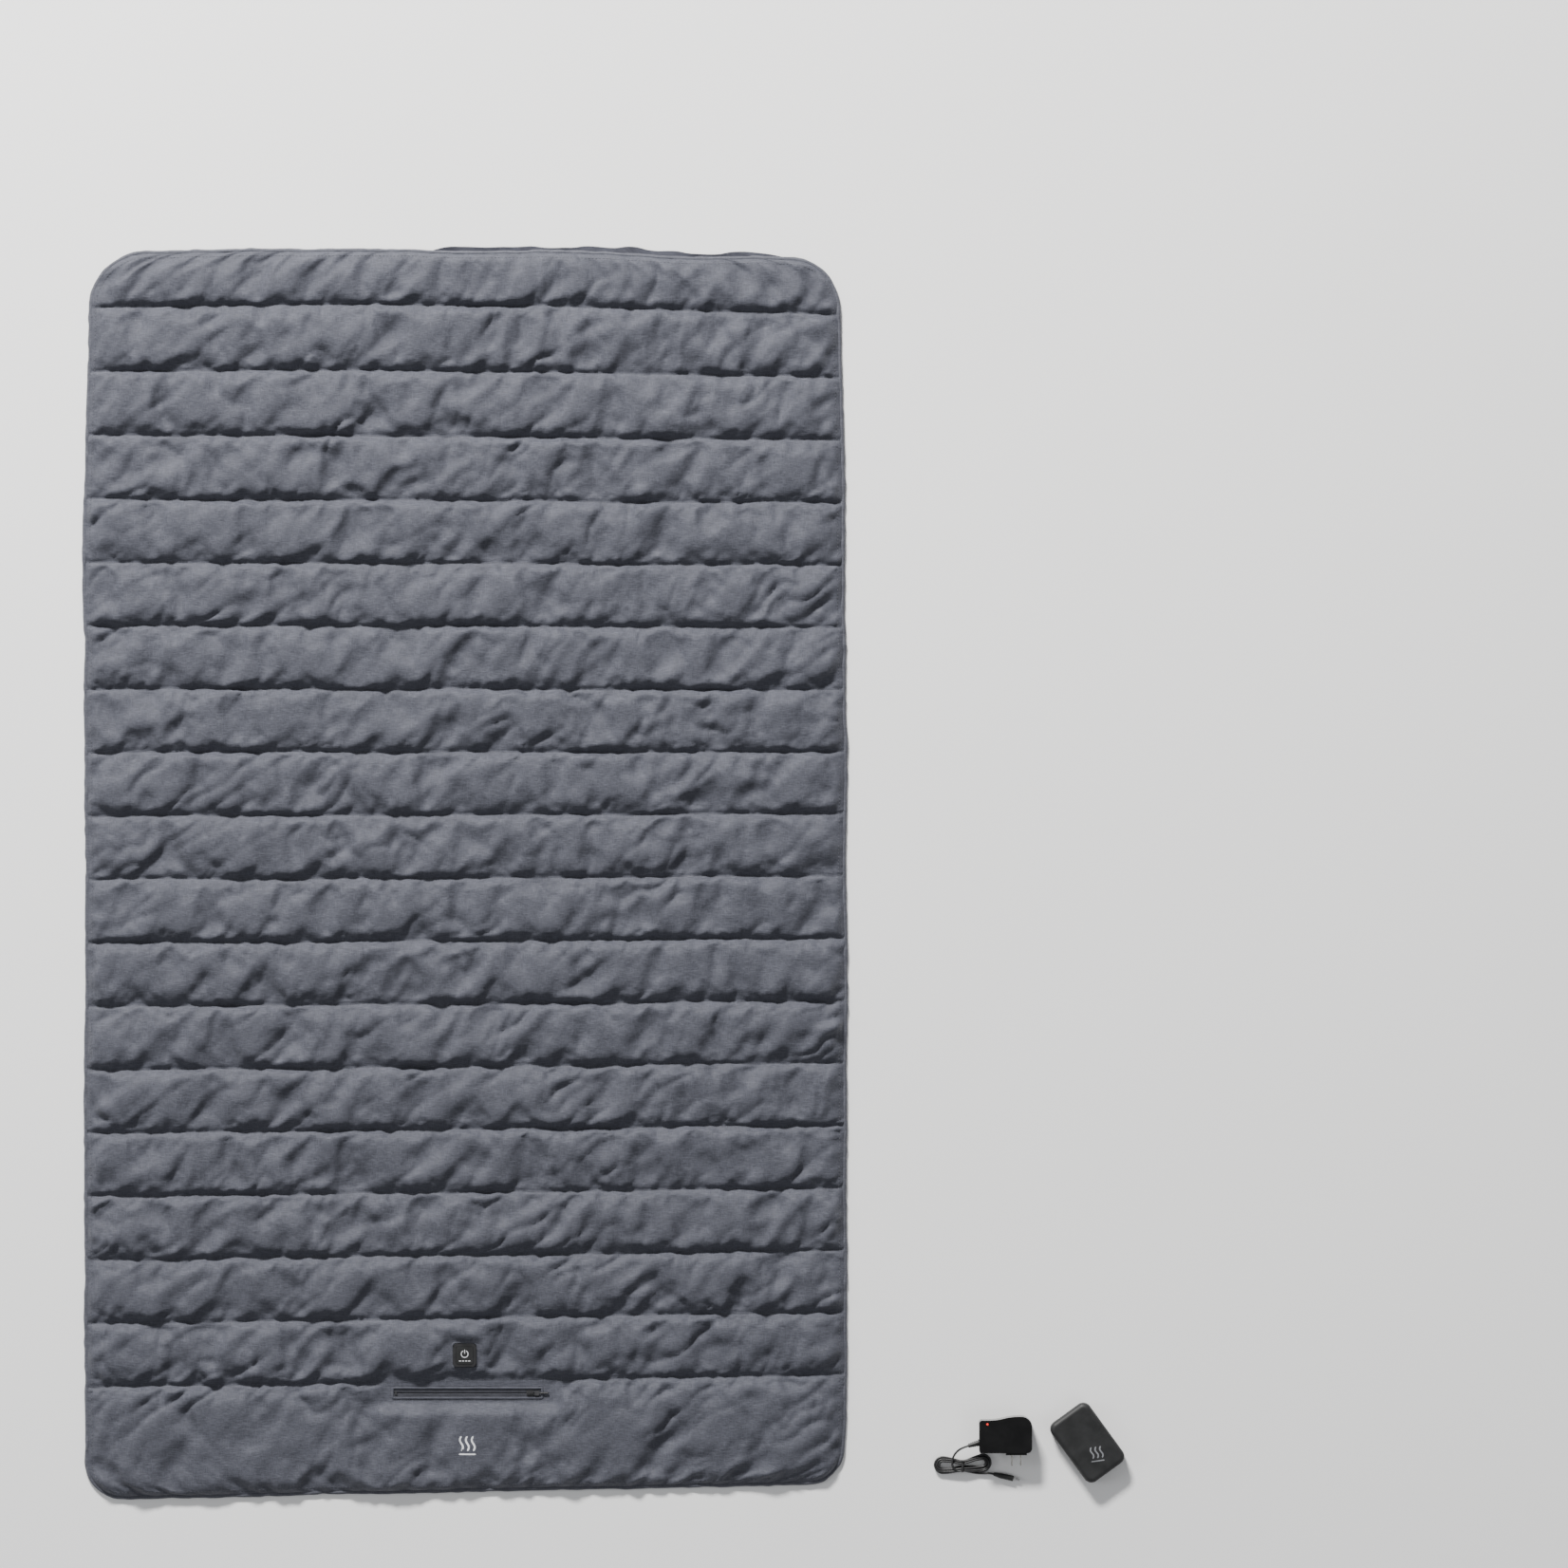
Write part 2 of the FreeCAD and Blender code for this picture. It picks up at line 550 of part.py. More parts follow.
def controller():
    at = ("0", "-controller_y", "housing_bottom")
    outer = slab("housing_outer", at, ("housing_side", "housing_side", "housing_top - housing_bottom"),
                 "housing_corner")
    room_side = "housing_side - 2 * housing_wall"
    room = slab("housing_room_cut", ("0", "-controller_y", "housing_bottom - 1"),
                (room_side, room_side, "housing_top - housing_wall - housing_bottom + 1"),
                "housing_corner - housing_wall")
    window = slab("housing_window", at, ("window_side", "window_side", "20"), "3")
    frame = minus("housing_frame", outer, room, window)
    posts = []
    holes = []
    screws = []
    for index, (left, low) in enumerate(((-1, -1), (1, -1), (1, 1), (-1, 1)), start=1):
        x_near = f"{left} * screw_offset"
        y_near = f"{low} * screw_offset - controller_y"
        posts.append(block(f"post_{index}", (x_near + " - 2.4", y_near + " - 2.4", "housing_bottom"),
                           ("4.8", "4.8", "2.8")))
        holes.append(rod(f"screw_hole_{index}", (x_near, y_near, "plate_bottom - 1"), "screw_radius", "6"))
        shank = rod(f"screw_shank_{index}", (x_near, y_near, "plate_bottom + 0.8"), "screw_radius", "3.2")
        head = cone(f"screw_head_{index}", (x_near, y_near, "plate_bottom"), "1.6", "screw_radius", "0.8")
        screws.append(joined(f"screw_{index}", shank, head))
    corners = shared("housing_posts", joined("post_blocks", *posts),
                     slab("post_limit", at, ("housing_side", "housing_side", "2.8"), "housing_corner"))
    part("controller_housing", minus("controller_housing", joined("housing_solid", frame, corners), *holes))
    plate = slab("back_plate_blank", ("0", "-controller_y", "plate_bottom"),
                 ("plate_side", "plate_side", "plate_thickness"), "8")
    cable_hole = rod("plate_cable_hole", ("0", "-controller_y", "0"), "cable_hole", "20")
    part("controller_screws", group("controller_screws", *screws))
    part("controller_back_plate", minus("controller_back_plate", plate, cable_hole, *screws))
    part("controller_board", slab("controller_board", ("0", "-controller_y", "housing_bottom + 0.1"),
                                  ("20", "29", "1"), "1"))
    part("tact_switch", slab("tact_switch", ("0", "-controller_y", "housing_bottom + 1.1"),
                             ("6", "6", "2"), "0.8"))

    flange = slab("cap_flange", ("0", "-controller_y", "cap_bottom"),
                  ("flange_side", "flange_side", "flange_thickness"), "3.5")
    body = slab("cap_body", ("0", "-controller_y", "cap_bottom"),
                ("cap_side", "cap_side", "cap_top - cap_bottom"), "2.7")
    marks = light_marks()
    part("controller_cap", minus("controller_cap", joined("cap_blank", flange, body), marks))
    part("controller_lights", marks)


def light_marks():
    """A power sign over a row of four charge dashes, let into the button's top."""
    low = "cap_top - mark_depth"
    ring = rod("sign_ring_outer", ("0", "2 - controller_y", low), "5.4", "mark_depth")
    hollow = rod("sign_ring_inner", ("0", "2 - controller_y", low), "4.4", "mark_depth")
    gap = block("sign_gap", ("-2", "4 - controller_y", low), ("4", "6", "mark_depth"))
    sign = minus("power_ring", ring, hollow, gap)
    bar = block("power_bar", ("-0.5", "2.6 - controller_y", low), ("1", "5.6", "mark_depth"))
    dashes = [
        block(f"dash_{index + 1}", (f"{index} * 4.4 - 8.1", "-8.6 - controller_y", low),
              ("3", "1.1", "mark_depth"))
        for index in range(4)
    ]
    return group("controller_lights", sign, bar, *dashes)


# ---------------------------------------------------------------- zipper and pocket

def zipper():
    span = "zip_left + zip_right"
    coil_low = "tape_bottom - coil_height"
    for name, tape_edge, coil_edge in (
        ("upper", "slit / 2 - zip_y", "slit / 2 - zip_y"),
        ("lower", "-zip_y - slit / 2 - tape_width", "-zip_y - slit / 2 - coil_width"),
    ):
        part("zip_tape_" + name, block("zip_tape_" + name, ("-zip_left - 9", tape_edge, "tape_bottom"),
                                       (span + " + 15", "tape_width", "tape_thickness")))
        part("zip_coil_" + name, block("zip_coil_" + name, ("1 - zip_left", coil_edge, coil_low),
                                       (span + " - 2", "coil_width", "coil_height")))
    stop_level = "tape_bottom + tape_thickness"
    stops = [
        block(f"zip_stop_{name}", (x_start, "-zip_y - 2.5", stop_level), ("3", "5", "1.2"))
        for name, x_start in (("right", "slider_x + slider_length / 2 + 2"), ("left", "2 - zip_left"))
    ]
    part("zip_stops", group("zip_stops", *stops))
    welt = block("welt_blank", ("-zip_left - 3", "-zip_y - zip_window / 2 - 3", "seam_height + cloth"),
                 (span + " + 6", "zip_window + 4.7", "0.5"))
    opening = block("welt_opening", ("-zip_left", "-zip_y - zip_window / 2", "seam_height"),
                    (span, "zip_window", "4"))
    part("pocket_welt", minus("pocket_welt", welt, opening))


def pocket():
    outer = []
    rooms = []
    for name in ("low", "high"):
        foot_side = f"-zip_y - bag_{name}_reach"
        span = f"bag_{name}_span"
        height = f"bag_{name}_top - bag_bottom"
        outer.append(block("bag_" + name, ("-bag_half_width", foot_side, "bag_bottom"),
                           ("2 * bag_half_width", span, height)))
        rooms.append(block(f"bag_{name}_room",
                           ("bag_wall - bag_half_width", foot_side + " + bag_wall", "bag_bottom + bag_wall"),
                           ("2 * bag_half_width - 2 * bag_wall", span + " - 2 * bag_wall",
                            height + " - 2 * bag_wall")))
    mouth = block("bag_mouth", ("-zip_left", "1 - zip_y - zip_window / 2", "bag_low_top - 1"),
                  ("zip_left + zip_right", "zip_window - 2", "2"))
    slit = block("bag_lead_slit", ("-bag_half_width - 1", "-lead_y - 2", "lead_level - 1.4"),
                 ("3", "4", "2.9"))
    part("pocket_bag", minus("pocket_bag", joined("bag_outer", *outer), *rooms, mouth, slit))

    level = size.lead_level
    part("battery_lead", tube("battery_lead", [
        Vector(-size.connector_width / 2, -size.controller_y, level),
        Vector(-size.lead_lane, -size.controller_y, level),
        Vector(-size.lead_lane, -size.lead_y, level),
        Vector(-size.lead_grip_x, -size.lead_y, level)], 9, "lead_diameter"))
    grip_level = "lead_level + 1.85"
    part("lead_plug_grip", rod("lead_plug_grip", ("-lead_grip_x", "-lead_y", grip_level),
                               "lead_grip_radius", "lead_grip_length", "+x"))
    barrel_start = ("lead_grip_length - lead_grip_x", "-lead_y", grip_level)
    part("lead_plug_barrel", rod("lead_plug_barrel", barrel_start, "plug_radius", "plug_length", "+x"))


def slider():
    at_y = "-zip_y"
    plate = ("slider_length", "slider_width", "slider_plate")
    crown = slab("slider_crown", ("slider_x", at_y, "slider_top - slider_plate"), plate, "slider_corner")
    sole = slab("slider_sole", ("slider_x", at_y, "slider_bottom"), plate, "slider_corner")
    post = block("slider_post", ("slider_x - 1.5", "-zip_y - 0.3", "slider_bottom + slider_plate"),
                 ("3", "0.6", "slider_top - 2 * slider_plate - slider_bottom"))
    bail_side = "-zip_y - bail_width / 2"
    bail_left = "slider_x - bail_length / 2"
    legs = [
        block(f"bail_leg_{name}", (x_start, bail_side, "slider_top"),
              ("bail_leg", "bail_width", "bail_top - slider_top"))
        for name, x_start in (("left", bail_left), ("right", "slider_x + bail_length / 2 - bail_leg"))
    ]
    bridge = block("bail_bridge", (bail_left, bail_side, "bail_top - bail_thickness"),
                   ("bail_length", "bail_width", "bail_thickness"))
    part("zip_slider", joined("zip_slider", crown, sole, post, bridge, *legs))

    pin = rod("pull_pin_rod", ("slider_x", "-zip_y - 2.2", "pull_axis"), "pull_pin", "4.4", "+y")
    under = "pull_axis - pull_arm / 2"
    arms = [
        block(f"pull_arm_{name}", ("slider_x - 0.6", y_start, under), ("7", "1", "pull_arm"))
        for name, y_start in (("near", "-zip_y - 2.2"), ("far", "1.2 - zip_y"))
    ]
    tab = slab("pull_tab_plate", ("slider_x + 9.5", at_y, under), ("7", "7", "pull_arm"), "1.6")
    part("zip_pull_tab", joined("zip_pull_tab", pin, tab, *arms))
    part("zip_pull_cord", rod("zip_pull_cord", ("slider_x + 13", at_y, "pull_axis + 0.25"),
                              "pull_cord_radius", "pull_cord_length", "+x"))


# ---------------------------------------------------------------- battery pack

def on_pack(item):
    """Puts a piece that is built about the pack's centre where the pack lies."""
    item.Placement = Placement(Vector(), Rotation(Vector(0, 0, 1), size.pack_turn))
    return place(item, ("pack_x", "-pack_y", "0"))


def battery():
    outer = slab("pack_outer", ("0", "0", "0"), ("pack_length", "pack_width", "pack_height"),
                 "pack_corner", "pack_edge")
    room = slab("pack_room", ("0", "0", "pack_wall"),
                ("pack_length - 2 * pack_wall", "pack_width - 2 * pack_wall", "pack_height - 2 * pack_wall"),
                "pack_corner - pack_wall", "pack_edge - pack_wall")
    shell = minus("pack_shell", outer, room)
    middle = "pack_height / 2"
    ring_hole = rod("ring_hole", ("-jack_along", "ring_depth - pack_width / 2", middle),
                    "ring_radius", "4", "-y")
    jack_hole = rod("jack_hole", ("-jack_along", "4 - pack_width / 2", middle), "jack_radius", "8", "-y")
    lower_space = block("pack_lower_space", ("-pack_length", "-pack_width", "-1"),
                        ("2 * pack_length", "2 * pack_width", "pack_height / 2 + 1"))
    drilled = minus("pack_drilled", shell, ring_hole, jack_hole)
    part("battery_case_top", on_pack(minus("battery_case_top", drilled, lower_space)))
    part("battery_case_bottom", on_pack(shared("battery_case_bottom", drilled, lower_space)))

    cells = [
        slab(f"cell_{name}", ("8", "0", level), ("cell_length", "cell_width", "cell_thickness"), "3")
        for name, level in (("low", "pack_wall + 1"), ("high", "pack_wall + 1.4 + cell_thickness"))
    ]
    part("battery_cells", on_pack(group("battery_cells", *cells)))
    board = block("board_blank", ("5.5 - pack_length / 2", "-26", middle + " - 5"), ("8", "52", "1.6"))
    jack_space = block("board_notch", ("-jack_along - 5", "-pack_width / 2", "0"),
                       ("10", "pack_width / 2 - 20", "pack_height + 6"))
    part("battery_board", on_pack(minus("battery_board", board, jack_space)))

    jack_end = "ring_depth + jack_depth - pack_width / 2"
    barrel = rod("jack_body", ("-jack_along", jack_end, middle), "jack_radius", "jack_depth", "-y")
    bore = rod("jack_bore", ("-jack_along", jack_end + " - 1", middle),
               "plug_radius + 0.1", "jack_depth + 5", "-y")
    pin = rod("jack_pin", ("-jack_along", jack_end, middle), "0.6", "jack_depth - 1.5", "-y")
    part("battery_jack", on_pack(joined("battery_jack", minus("jack_shell", barrel, bore), pin)))
    ring = rod("ring_blank", ("-jack_along", "ring_depth - pack_width / 2", middle),
               "ring_radius", "ring_depth + 0.3", "-y")
    ring_bore = rod("ring_bore", ("-jack_along", "3 - pack_width / 2", middle),
                    "plug_radius + 0.6", "8", "-y")
    part("jack_ring", on_pack(minus("jack_ring", ring, ring_bore)))


# ---------------------------------------------------------------- charger

def s_curve(start, end):
    """Two equal arcs that leave and arrive level."""
    middle = (start + end) / 2
    run = middle.x - start.x
    rise = middle.y - start.y
    radius = (run ** 2 + rise ** 2) / (2 * rise)
    half = math.asin(run / radius) / 2
    low_middle = start + Vector(radius * math.sin(half), radius * (1 - math.cos(half)), 0)
    high_middle = end - Vector(radius * math.sin(half), radius * (1 - math.cos(half)), 0)
    return [Part.Arc(start, low_middle, middle).toShape(), Part.Arc(middle, high_middle, end).toShape()]


def corner_arc(centre, radius, start_angle):
    """A quarter turn, clockwise, that starts at the given angle in degrees."""
    spots = [
        centre + Vector(math.cos(math.radians(angle)), math.sin(math.radians(angle)), 0) * radius
        for angle in (start_angle, start_angle - 45, start_angle - 90)
    ]
    return Part.Arc(*spots).toShape()


def charger_outline(inset):
    """The charger seen on its side: flat wall face, S-shaped back, round blade end."""
    left = size.charger_x + inset
    right = size.charger_x + size.charger_length - inset
    foot = -size.charger_y + inset
    back_left = -size.charger_y + size.charger_low_depth - inset
    back_right = -size.charger_y + size.charger_high_depth - inset
    small, dome, heel = 4 - inset, 15 - inset, 7 - inset
    rise_start = Vector(size.charger_x + 14, back_left, 0)
    rise_end = Vector(right - dome - 4, back_right, 0)
    edges = [
        Part.makeLine(Vector(left, foot + small, 0), Vector(left, back_left - small, 0)),
        corner_arc(Vector(left + small, back_left - small, 0), small, 180),
        Part.makeLine(Vector(left + small, back_left, 0), rise_start),
    ]
    edges += s_curve(rise_start, rise_end)
    edges += [
        Part.makeLine(rise_end, Vector(right - dome, back_right, 0)),
        corner_arc(Vector(right - dome, back_right - dome, 0), dome, 90),
        Part.makeLine(Vector(right, back_right - dome, 0), Vector(right, foot + heel, 0)),
        corner_arc(Vector(right - heel, foot + heel, 0), heel, 0),
        Part.makeLine(Vector(right - heel, foot, 0), Vector(left + small, foot, 0)),
        corner_arc(Vector(left + small, foot + small, 0), small, -90),
    ]
    return Part.Wire(edges)


def cover_space():
    """Everything behind the parting line, which follows the back's S shape."""
    far_left = size.charger_x - 10
    far_right = size.charger_x + size.charger_length + 10
    parting_left = -size.charger_y + size.charger_low_depth - size.cover_depth
    parting_right = -size.charger_y + size.charger_high_depth - size.cover_depth
    start = Vector(size.charger_x + 14, parting_left, 0)
    end = Vector(far_right - 25, parting_right, 0)
    beyond = -size.charger_y + size.charger_high_depth + 20
    edges = [Part.makeLine(Vector(far_left, parting_left, 0), start)]
    edges += s_curve(start, end)
    edges += [
        Part.makeLine(end, Vector(far_right, parting_right, 0)),
        Part.makeLine(Vector(far_right, parting_right, 0), Vector(far_right, beyond, 0)),
        Part.makeLine(Vector(far_right, beyond, 0), Vector(far_left, beyond, 0)),
        Part.makeLine(Vector(far_left, beyond, 0), Vector(far_left, parting_left, 0)),
    ]
    space = prism("cover_space", Part.Wire(edges), Vector(0, 0, 1), "charger_thickness + 4")
    return place(space, ("0", "0", "-2"))


def charger():
    upward = Vector(0, 0, 1)
    outer = prism("charger_outer", charger_outline(0), upward, "charger_thickness")
    room = prism("charger_room", charger_outline(size.charger_wall), upward,
                 "charger_thickness - 2 * charger_wall")
    place(room, ("0", "0", "charger_wall"))
    shell = minus("charger_shell", outer, room)
    behind = cover_space()
    led_x = "charger_x + led_along"
    led_y = "led_depth - charger_y"
    led_hole = rod("led_hole", (led_x, led_y, "charger_thickness / 2"), "led_radius", "charger_thickness")
    part("charger_cover", minus("charger_cover", shared("cover_blank", shell, behind), led_hole))
    base = part("charger_base", minus("charger_base", shell, behind))
    part("charger_led", rod("led_lens", (led_x, led_y, "charger_thickness - 4"), "led_radius", "4.1"))

    plate_left = "charger_x + blade_centre - plug_plate_length / 2"
    plate = block("plug_plate_blank", (plate_left, "-charger_y - plug_plate_height", "3"),
                  ("plug_plate_length", "plug_plate_height", "charger_thickness - 6"))
    blades = []
    for name, side in (("left", "-"), ("right", "+")):
        x_start = f"charger_x + blade_centre {side} blade_pitch / 2 - blade_thickness / 2"
        blank = block(f"blade_{name}_blank",
                      (x_start, "-charger_y - plug_plate_height - blade_length",
                       "charger_thickness / 2 - blade_width / 2"),
                      ("blade_thickness", "blade_length + plug_plate_height", "blade_width"))
        eye = rod(f"blade_{name}_eye", (x_start + " - 1", "4 - charger_y - plug_plate_height - blade_length",
                                        "charger_thickness / 2"), "1.6", "4", "+x")
        blades.append(minus(f"blade_{name}", blank, eye))
    part("charger_blades", group("charger_blades", *blades))
    part("charger_plug_plate", minus("charger_plug_plate", plate, *blades))

    part("charger_board", block("charger_board", ("charger_x + 6", "5 - charger_y", "5"),
                                ("62", "34", "1.6")))
    part("charger_transformer", slab("charger_transformer", ("charger_x + 38", "20 - charger_y", "6.6"),
                                     ("21", "19", "16"), "1.5"))
    capacitors = [
        rod("capacitor_" + name, (x_start, y_start, "6.6"), radius, height)
        for name, x_start, y_start, radius, height in (
            ("mains", "charger_x + 58", "20 - charger_y", "6", "17"),
            ("output", "charger_x + 18", "15 - charger_y", "4", "12"),
            ("filter", "charger_x + 18", "28 - charger_y", "4", "12"))
    ]
    part("charger_capacitors", group("charger_capacitors", *capacitors))
    return base


# ---------------------------------------------------------------- charger cord

HANK_LEFT, HANK_RIGHT = 675.0, 760.0
LOBE_LEFT_X, LOBE_RIGHT_X = 688.0, 745.0
WAIST_X, WAIST_Y = 717.5, -849.5
TIE_WIDTH = 3.6


def hank_outline():
    """The tied hank from above: two lobes and the waist that the tie pulls in."""
    left_top, left_low = Vector(LOBE_LEFT_X, -835.3, 0), Vector(LOBE_LEFT_X, -861.6, 0)
    right_low, right_top = Vector(LOBE_RIGHT_X, -858.4, 0), Vector(LOBE_RIGHT_X, -831.2, 0)
    waist_low, waist_top = Vector(WAIST_X, WAIST_Y - 7.5, 0), Vector(WAIST_X, WAIST_Y + 7.5, 0)
    return Part.Wire([
        Part.Arc(left_top, Vector(HANK_LEFT, -848.6, 0), left_low).toShape(),
        Part.makeLine(left_low, waist_low),
        Part.makeLine(waist_low, right_low),
        Part.Arc(right_low, Vector(HANK_RIGHT, -844.8, 0), right_top).toShape(),
        Part.makeLine(right_top, waist_top),
        Part.makeLine(waist_top, left_top),
    ])


def cord(base):
    half = size.charger_thickness / 2
    lean = math.radians(size.relief_turn)
    outward = Vector(-math.cos(lean), -math.sin(lean), 0)
    root = Vector(size.charger_x + 0.6, -size.charger_y + size.relief_offset, half)
    tip = root + outward * (size.relief_length + 0.6)
    turned = Rotation(Vector(0, 0, 1), outward)
    core = doc.addObject("Part::Cone", "relief_core")
    bind(core, Radius1="relief_root - 0.6", Radius2="relief_end", Height="relief_length + 0.6")
    core.Placement = Placement(root, turned)
    ribs = [rod("relief_collar", ("charger_x", "relief_offset - charger_y", "charger_thickness / 2"),
                "relief_root + 0.5", "1.6", "-x")]
    for index in range(5):
        rib = doc.addObject("Part::Cylinder", f"relief_rib_{index + 1}")
        bind(rib, Radius=f"relief_root - {index} * 0.3", Height="1.5")
        rib.Placement = Placement(root + outward * (3.4 + 2.7 * index), turned)
        ribs.append(rib)
    part("charger_strain_relief", minus("charger_strain_relief", joined("relief_blank", core, *ribs), base))

    hank = prism("charger_cord_hank", hank_outline(), Vector(0, 0, 1), "hank_top - hank_bottom")
    place(hank, ("0", "0", "hank_bottom"))
    part("charger_cord_hank", hank)
    band = block("tie_blank", (f"{WAIST_X - TIE_WIDTH / 2}", f"{WAIST_Y - 8.8}", "0"),
                 (f"{TIE_WIDTH}", "17.6", "hank_top + 0.8"))
    part("cord_tie", minus("cord_tie", band, hank))

    lead = tube("cord_lead_tube", [
        tip, tip + outward * 8.5, Vector(708.4, -828.2, 12.4), Vector(703.2, -836.8, 9.8),
        Vector(702, -845.5, 8.7)], None, "cord_diameter", 0.45)
    part("charger_cord_lead", minus("charger_cord_lead", lead, hank))
    level = size.grip_radius + 0.05
    heading = math.radians(size.grip_turn)
    entry = Vector(size.grip_x, -size.grip_y, level)
    tail = tube("cord_tail_tube", [
        Vector(738, -855.4, level), Vector(748.6, -858.4, level),
        entry - Vector(math.cos(heading), math.sin(heading), 0) * 7, entry], None, "cord_diameter", 0.45)
    part("charger_cord_tail", minus("charger_cord_tail", tail, hank))

    neck = cone("grip_neck_cone", ("0", "0", "0"), "grip_neck", "grip_radius", "11", "+x")
    shaft = rod("grip_shaft", ("11", "0", "0"), "grip_radius", "grip_length - 11", "+x")
    part("dc_plug_grip", on_plug(joined("dc_plug_grip", neck, shaft)))
    start = ("grip_length", "0", "0")
    barrel = rod("plug_barrel_outer", start, "plug_radius", "plug_length", "+x")
    bore = rod("plug_barrel_bore", start, "1.2", "plug_length", "+x")
    part("dc_plug_barrel", on_plug(minus("dc_plug_barrel", barrel, bore)))
    lining = rod("plug_tip_outer", start, "1.2", "plug_length", "+x")
    pin_hole = rod("plug_tip_bore", start, "0.7", "plug_length", "+x")
    part("dc_plug_tip", on_plug(minus("dc_plug_tip", lining, pin_hole)))


def on_plug(item):
    """Puts a piece that is built along +X from the cord's entry where the plug lies."""
    item.Placement = Placement(Vector(), Rotation(Vector(0, 0, 1), size.grip_turn))
    return place(item, ("grip_x", "-grip_y", "grip_radius + 0.05"))


# ---------------------------------------------------------------- build and write

quilt()
heating()
controller()
zipper()
pocket()
slider()
battery()
cord(charger())
doc.recompute()

for item in doc.Objects:
    if "Invalid" in item.State or "Error" in item.State:
        raise RuntimeError(f"{item.Name} did not build: {item.State}")
for item in NODES:
    if item.Shape.isNull() or not item.Shape.isValid():
        raise RuntimeError(f"{item.Label} has no valid shape")
    if not item.Shape.Solids:
        raise RuntimeError(f"{item.Label} holds no solid")

os.makedirs("parts", exist_ok=True)
for item in NODES:
    item.Shape.exportStep(f"parts/{item.Label}.step")
print(f"{len(NODES)} sub-parts")
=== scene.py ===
"""A quilted heated throw lying face up, with its charger and battery pack beside it."""

import json
import math

import bpy
import numpy as np
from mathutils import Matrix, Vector
from mathutils.bvhtree import BVHTree


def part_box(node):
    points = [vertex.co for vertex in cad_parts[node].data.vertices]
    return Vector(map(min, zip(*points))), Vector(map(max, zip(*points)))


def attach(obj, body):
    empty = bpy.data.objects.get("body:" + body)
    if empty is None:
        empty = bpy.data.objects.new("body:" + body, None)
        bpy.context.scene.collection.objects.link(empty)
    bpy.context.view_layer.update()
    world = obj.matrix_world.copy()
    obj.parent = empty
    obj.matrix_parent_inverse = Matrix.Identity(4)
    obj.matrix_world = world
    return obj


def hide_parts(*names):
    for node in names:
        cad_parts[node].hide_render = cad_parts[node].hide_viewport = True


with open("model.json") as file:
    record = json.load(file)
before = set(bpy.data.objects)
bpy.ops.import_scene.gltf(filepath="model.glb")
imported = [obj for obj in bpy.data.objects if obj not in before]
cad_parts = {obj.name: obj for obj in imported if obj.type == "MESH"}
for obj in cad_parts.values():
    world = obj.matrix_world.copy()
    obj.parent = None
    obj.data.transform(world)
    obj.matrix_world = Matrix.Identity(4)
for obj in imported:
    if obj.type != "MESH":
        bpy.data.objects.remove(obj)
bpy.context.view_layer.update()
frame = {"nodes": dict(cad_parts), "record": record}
nodes = frame["nodes"]

# ------------------------------------------------------------------ camera, lights and floor

AIM = Vector((0.460, 0.134, 0.0))
CAMERA_HEIGHT, CAMERA_LENS = 12, 191


def lamp(name, at, towards, width, height, power, colour=(1, 1, 1)):
    """A soft rectangular lamp that the camera doesn't see."""
    data = bpy.data.lights.new(name, "AREA")
    data.shape = "RECTANGLE"
    data.size, data.size_y, data.energy, data.color = width, height, power, colour
    obj = bpy.data.objects.new(name, data)
    obj.location = at
    obj.rotation_euler = (Vector(towards) - Vector(at)).to_track_quat("-Z", "Y").to_euler()
    obj.visible_camera = False
    bpy.context.scene.collection.objects.link(obj)


camera = bpy.data.objects.new("camera", bpy.data.cameras.new("camera"))
camera.data.lens, camera.data.sensor_width, camera.data.clip_end = CAMERA_LENS, 36, 100
camera.location = AIM + Vector((0, 0, CAMERA_HEIGHT))
bpy.context.scene.collection.objects.link(camera)
bpy.context.scene.camera = camera

lamp("key_light", (-1.45, 5.3, 3.6), (0.2, 0.1, 0), 1.6, 0.8, 1160, (1, 0.99, 0.97))
lamp("side_light", (-3.6, -0.6, 2.6), (0.2, -0.1, 0), 1.8, 1.8, 34, (0.96, 0.98, 1))
lamp("fill_light", (3.4, -2.8, 3.4), (0.3, 0, 0), 2.4, 2.4, 30, (0.95, 0.97, 1))
sky = bpy.data.worlds.new("studio")
sky.use_nodes = True
sky.node_tree.nodes["Background"].inputs["Color"].default_value = (0.98, 0.99, 1, 1)
sky.node_tree.nodes["Background"].inputs["Strength"].default_value = 0.31
bpy.context.scene.world = sky

# ------------------------------------------------------------------ numbers shared by the pieces

# half sizes of the quilted face, inside the rolled edge, and its corner radii by (side, end)
EDGE_X, EDGE_Y = 0.545, 0.895
CORNERS = {(-1, 1): 0.080, (1, 1): 0.062, (-1, -1): 0.055, (1, -1): 0.048}
FIRST_SEAM, PITCH, SEAM_COUNT = 0.820, 0.0915, 18
SEAMS = [FIRST_SEAM - PITCH * k for k in range(SEAM_COUNT)]
SEAM_Z = 0.0056
BUTTON_AT, BUTTON_HALF = (0.0, -0.689), 0.01685
ZIP_Y = -0.744
# openings in the face: left, right, low and high
ZIP_WINDOW = (-0.103, 0.110, -0.750, -0.738)
BUTTON_WINDOW = (-BUTTON_HALF, BUTTON_HALF, BUTTON_AT[1] - BUTTON_HALF, BUTTON_AT[1] + BUTTON_HALF)


def lattice(seed):
    return np.random.default_rng(seed).normal(0, 0.6, (64, 64))


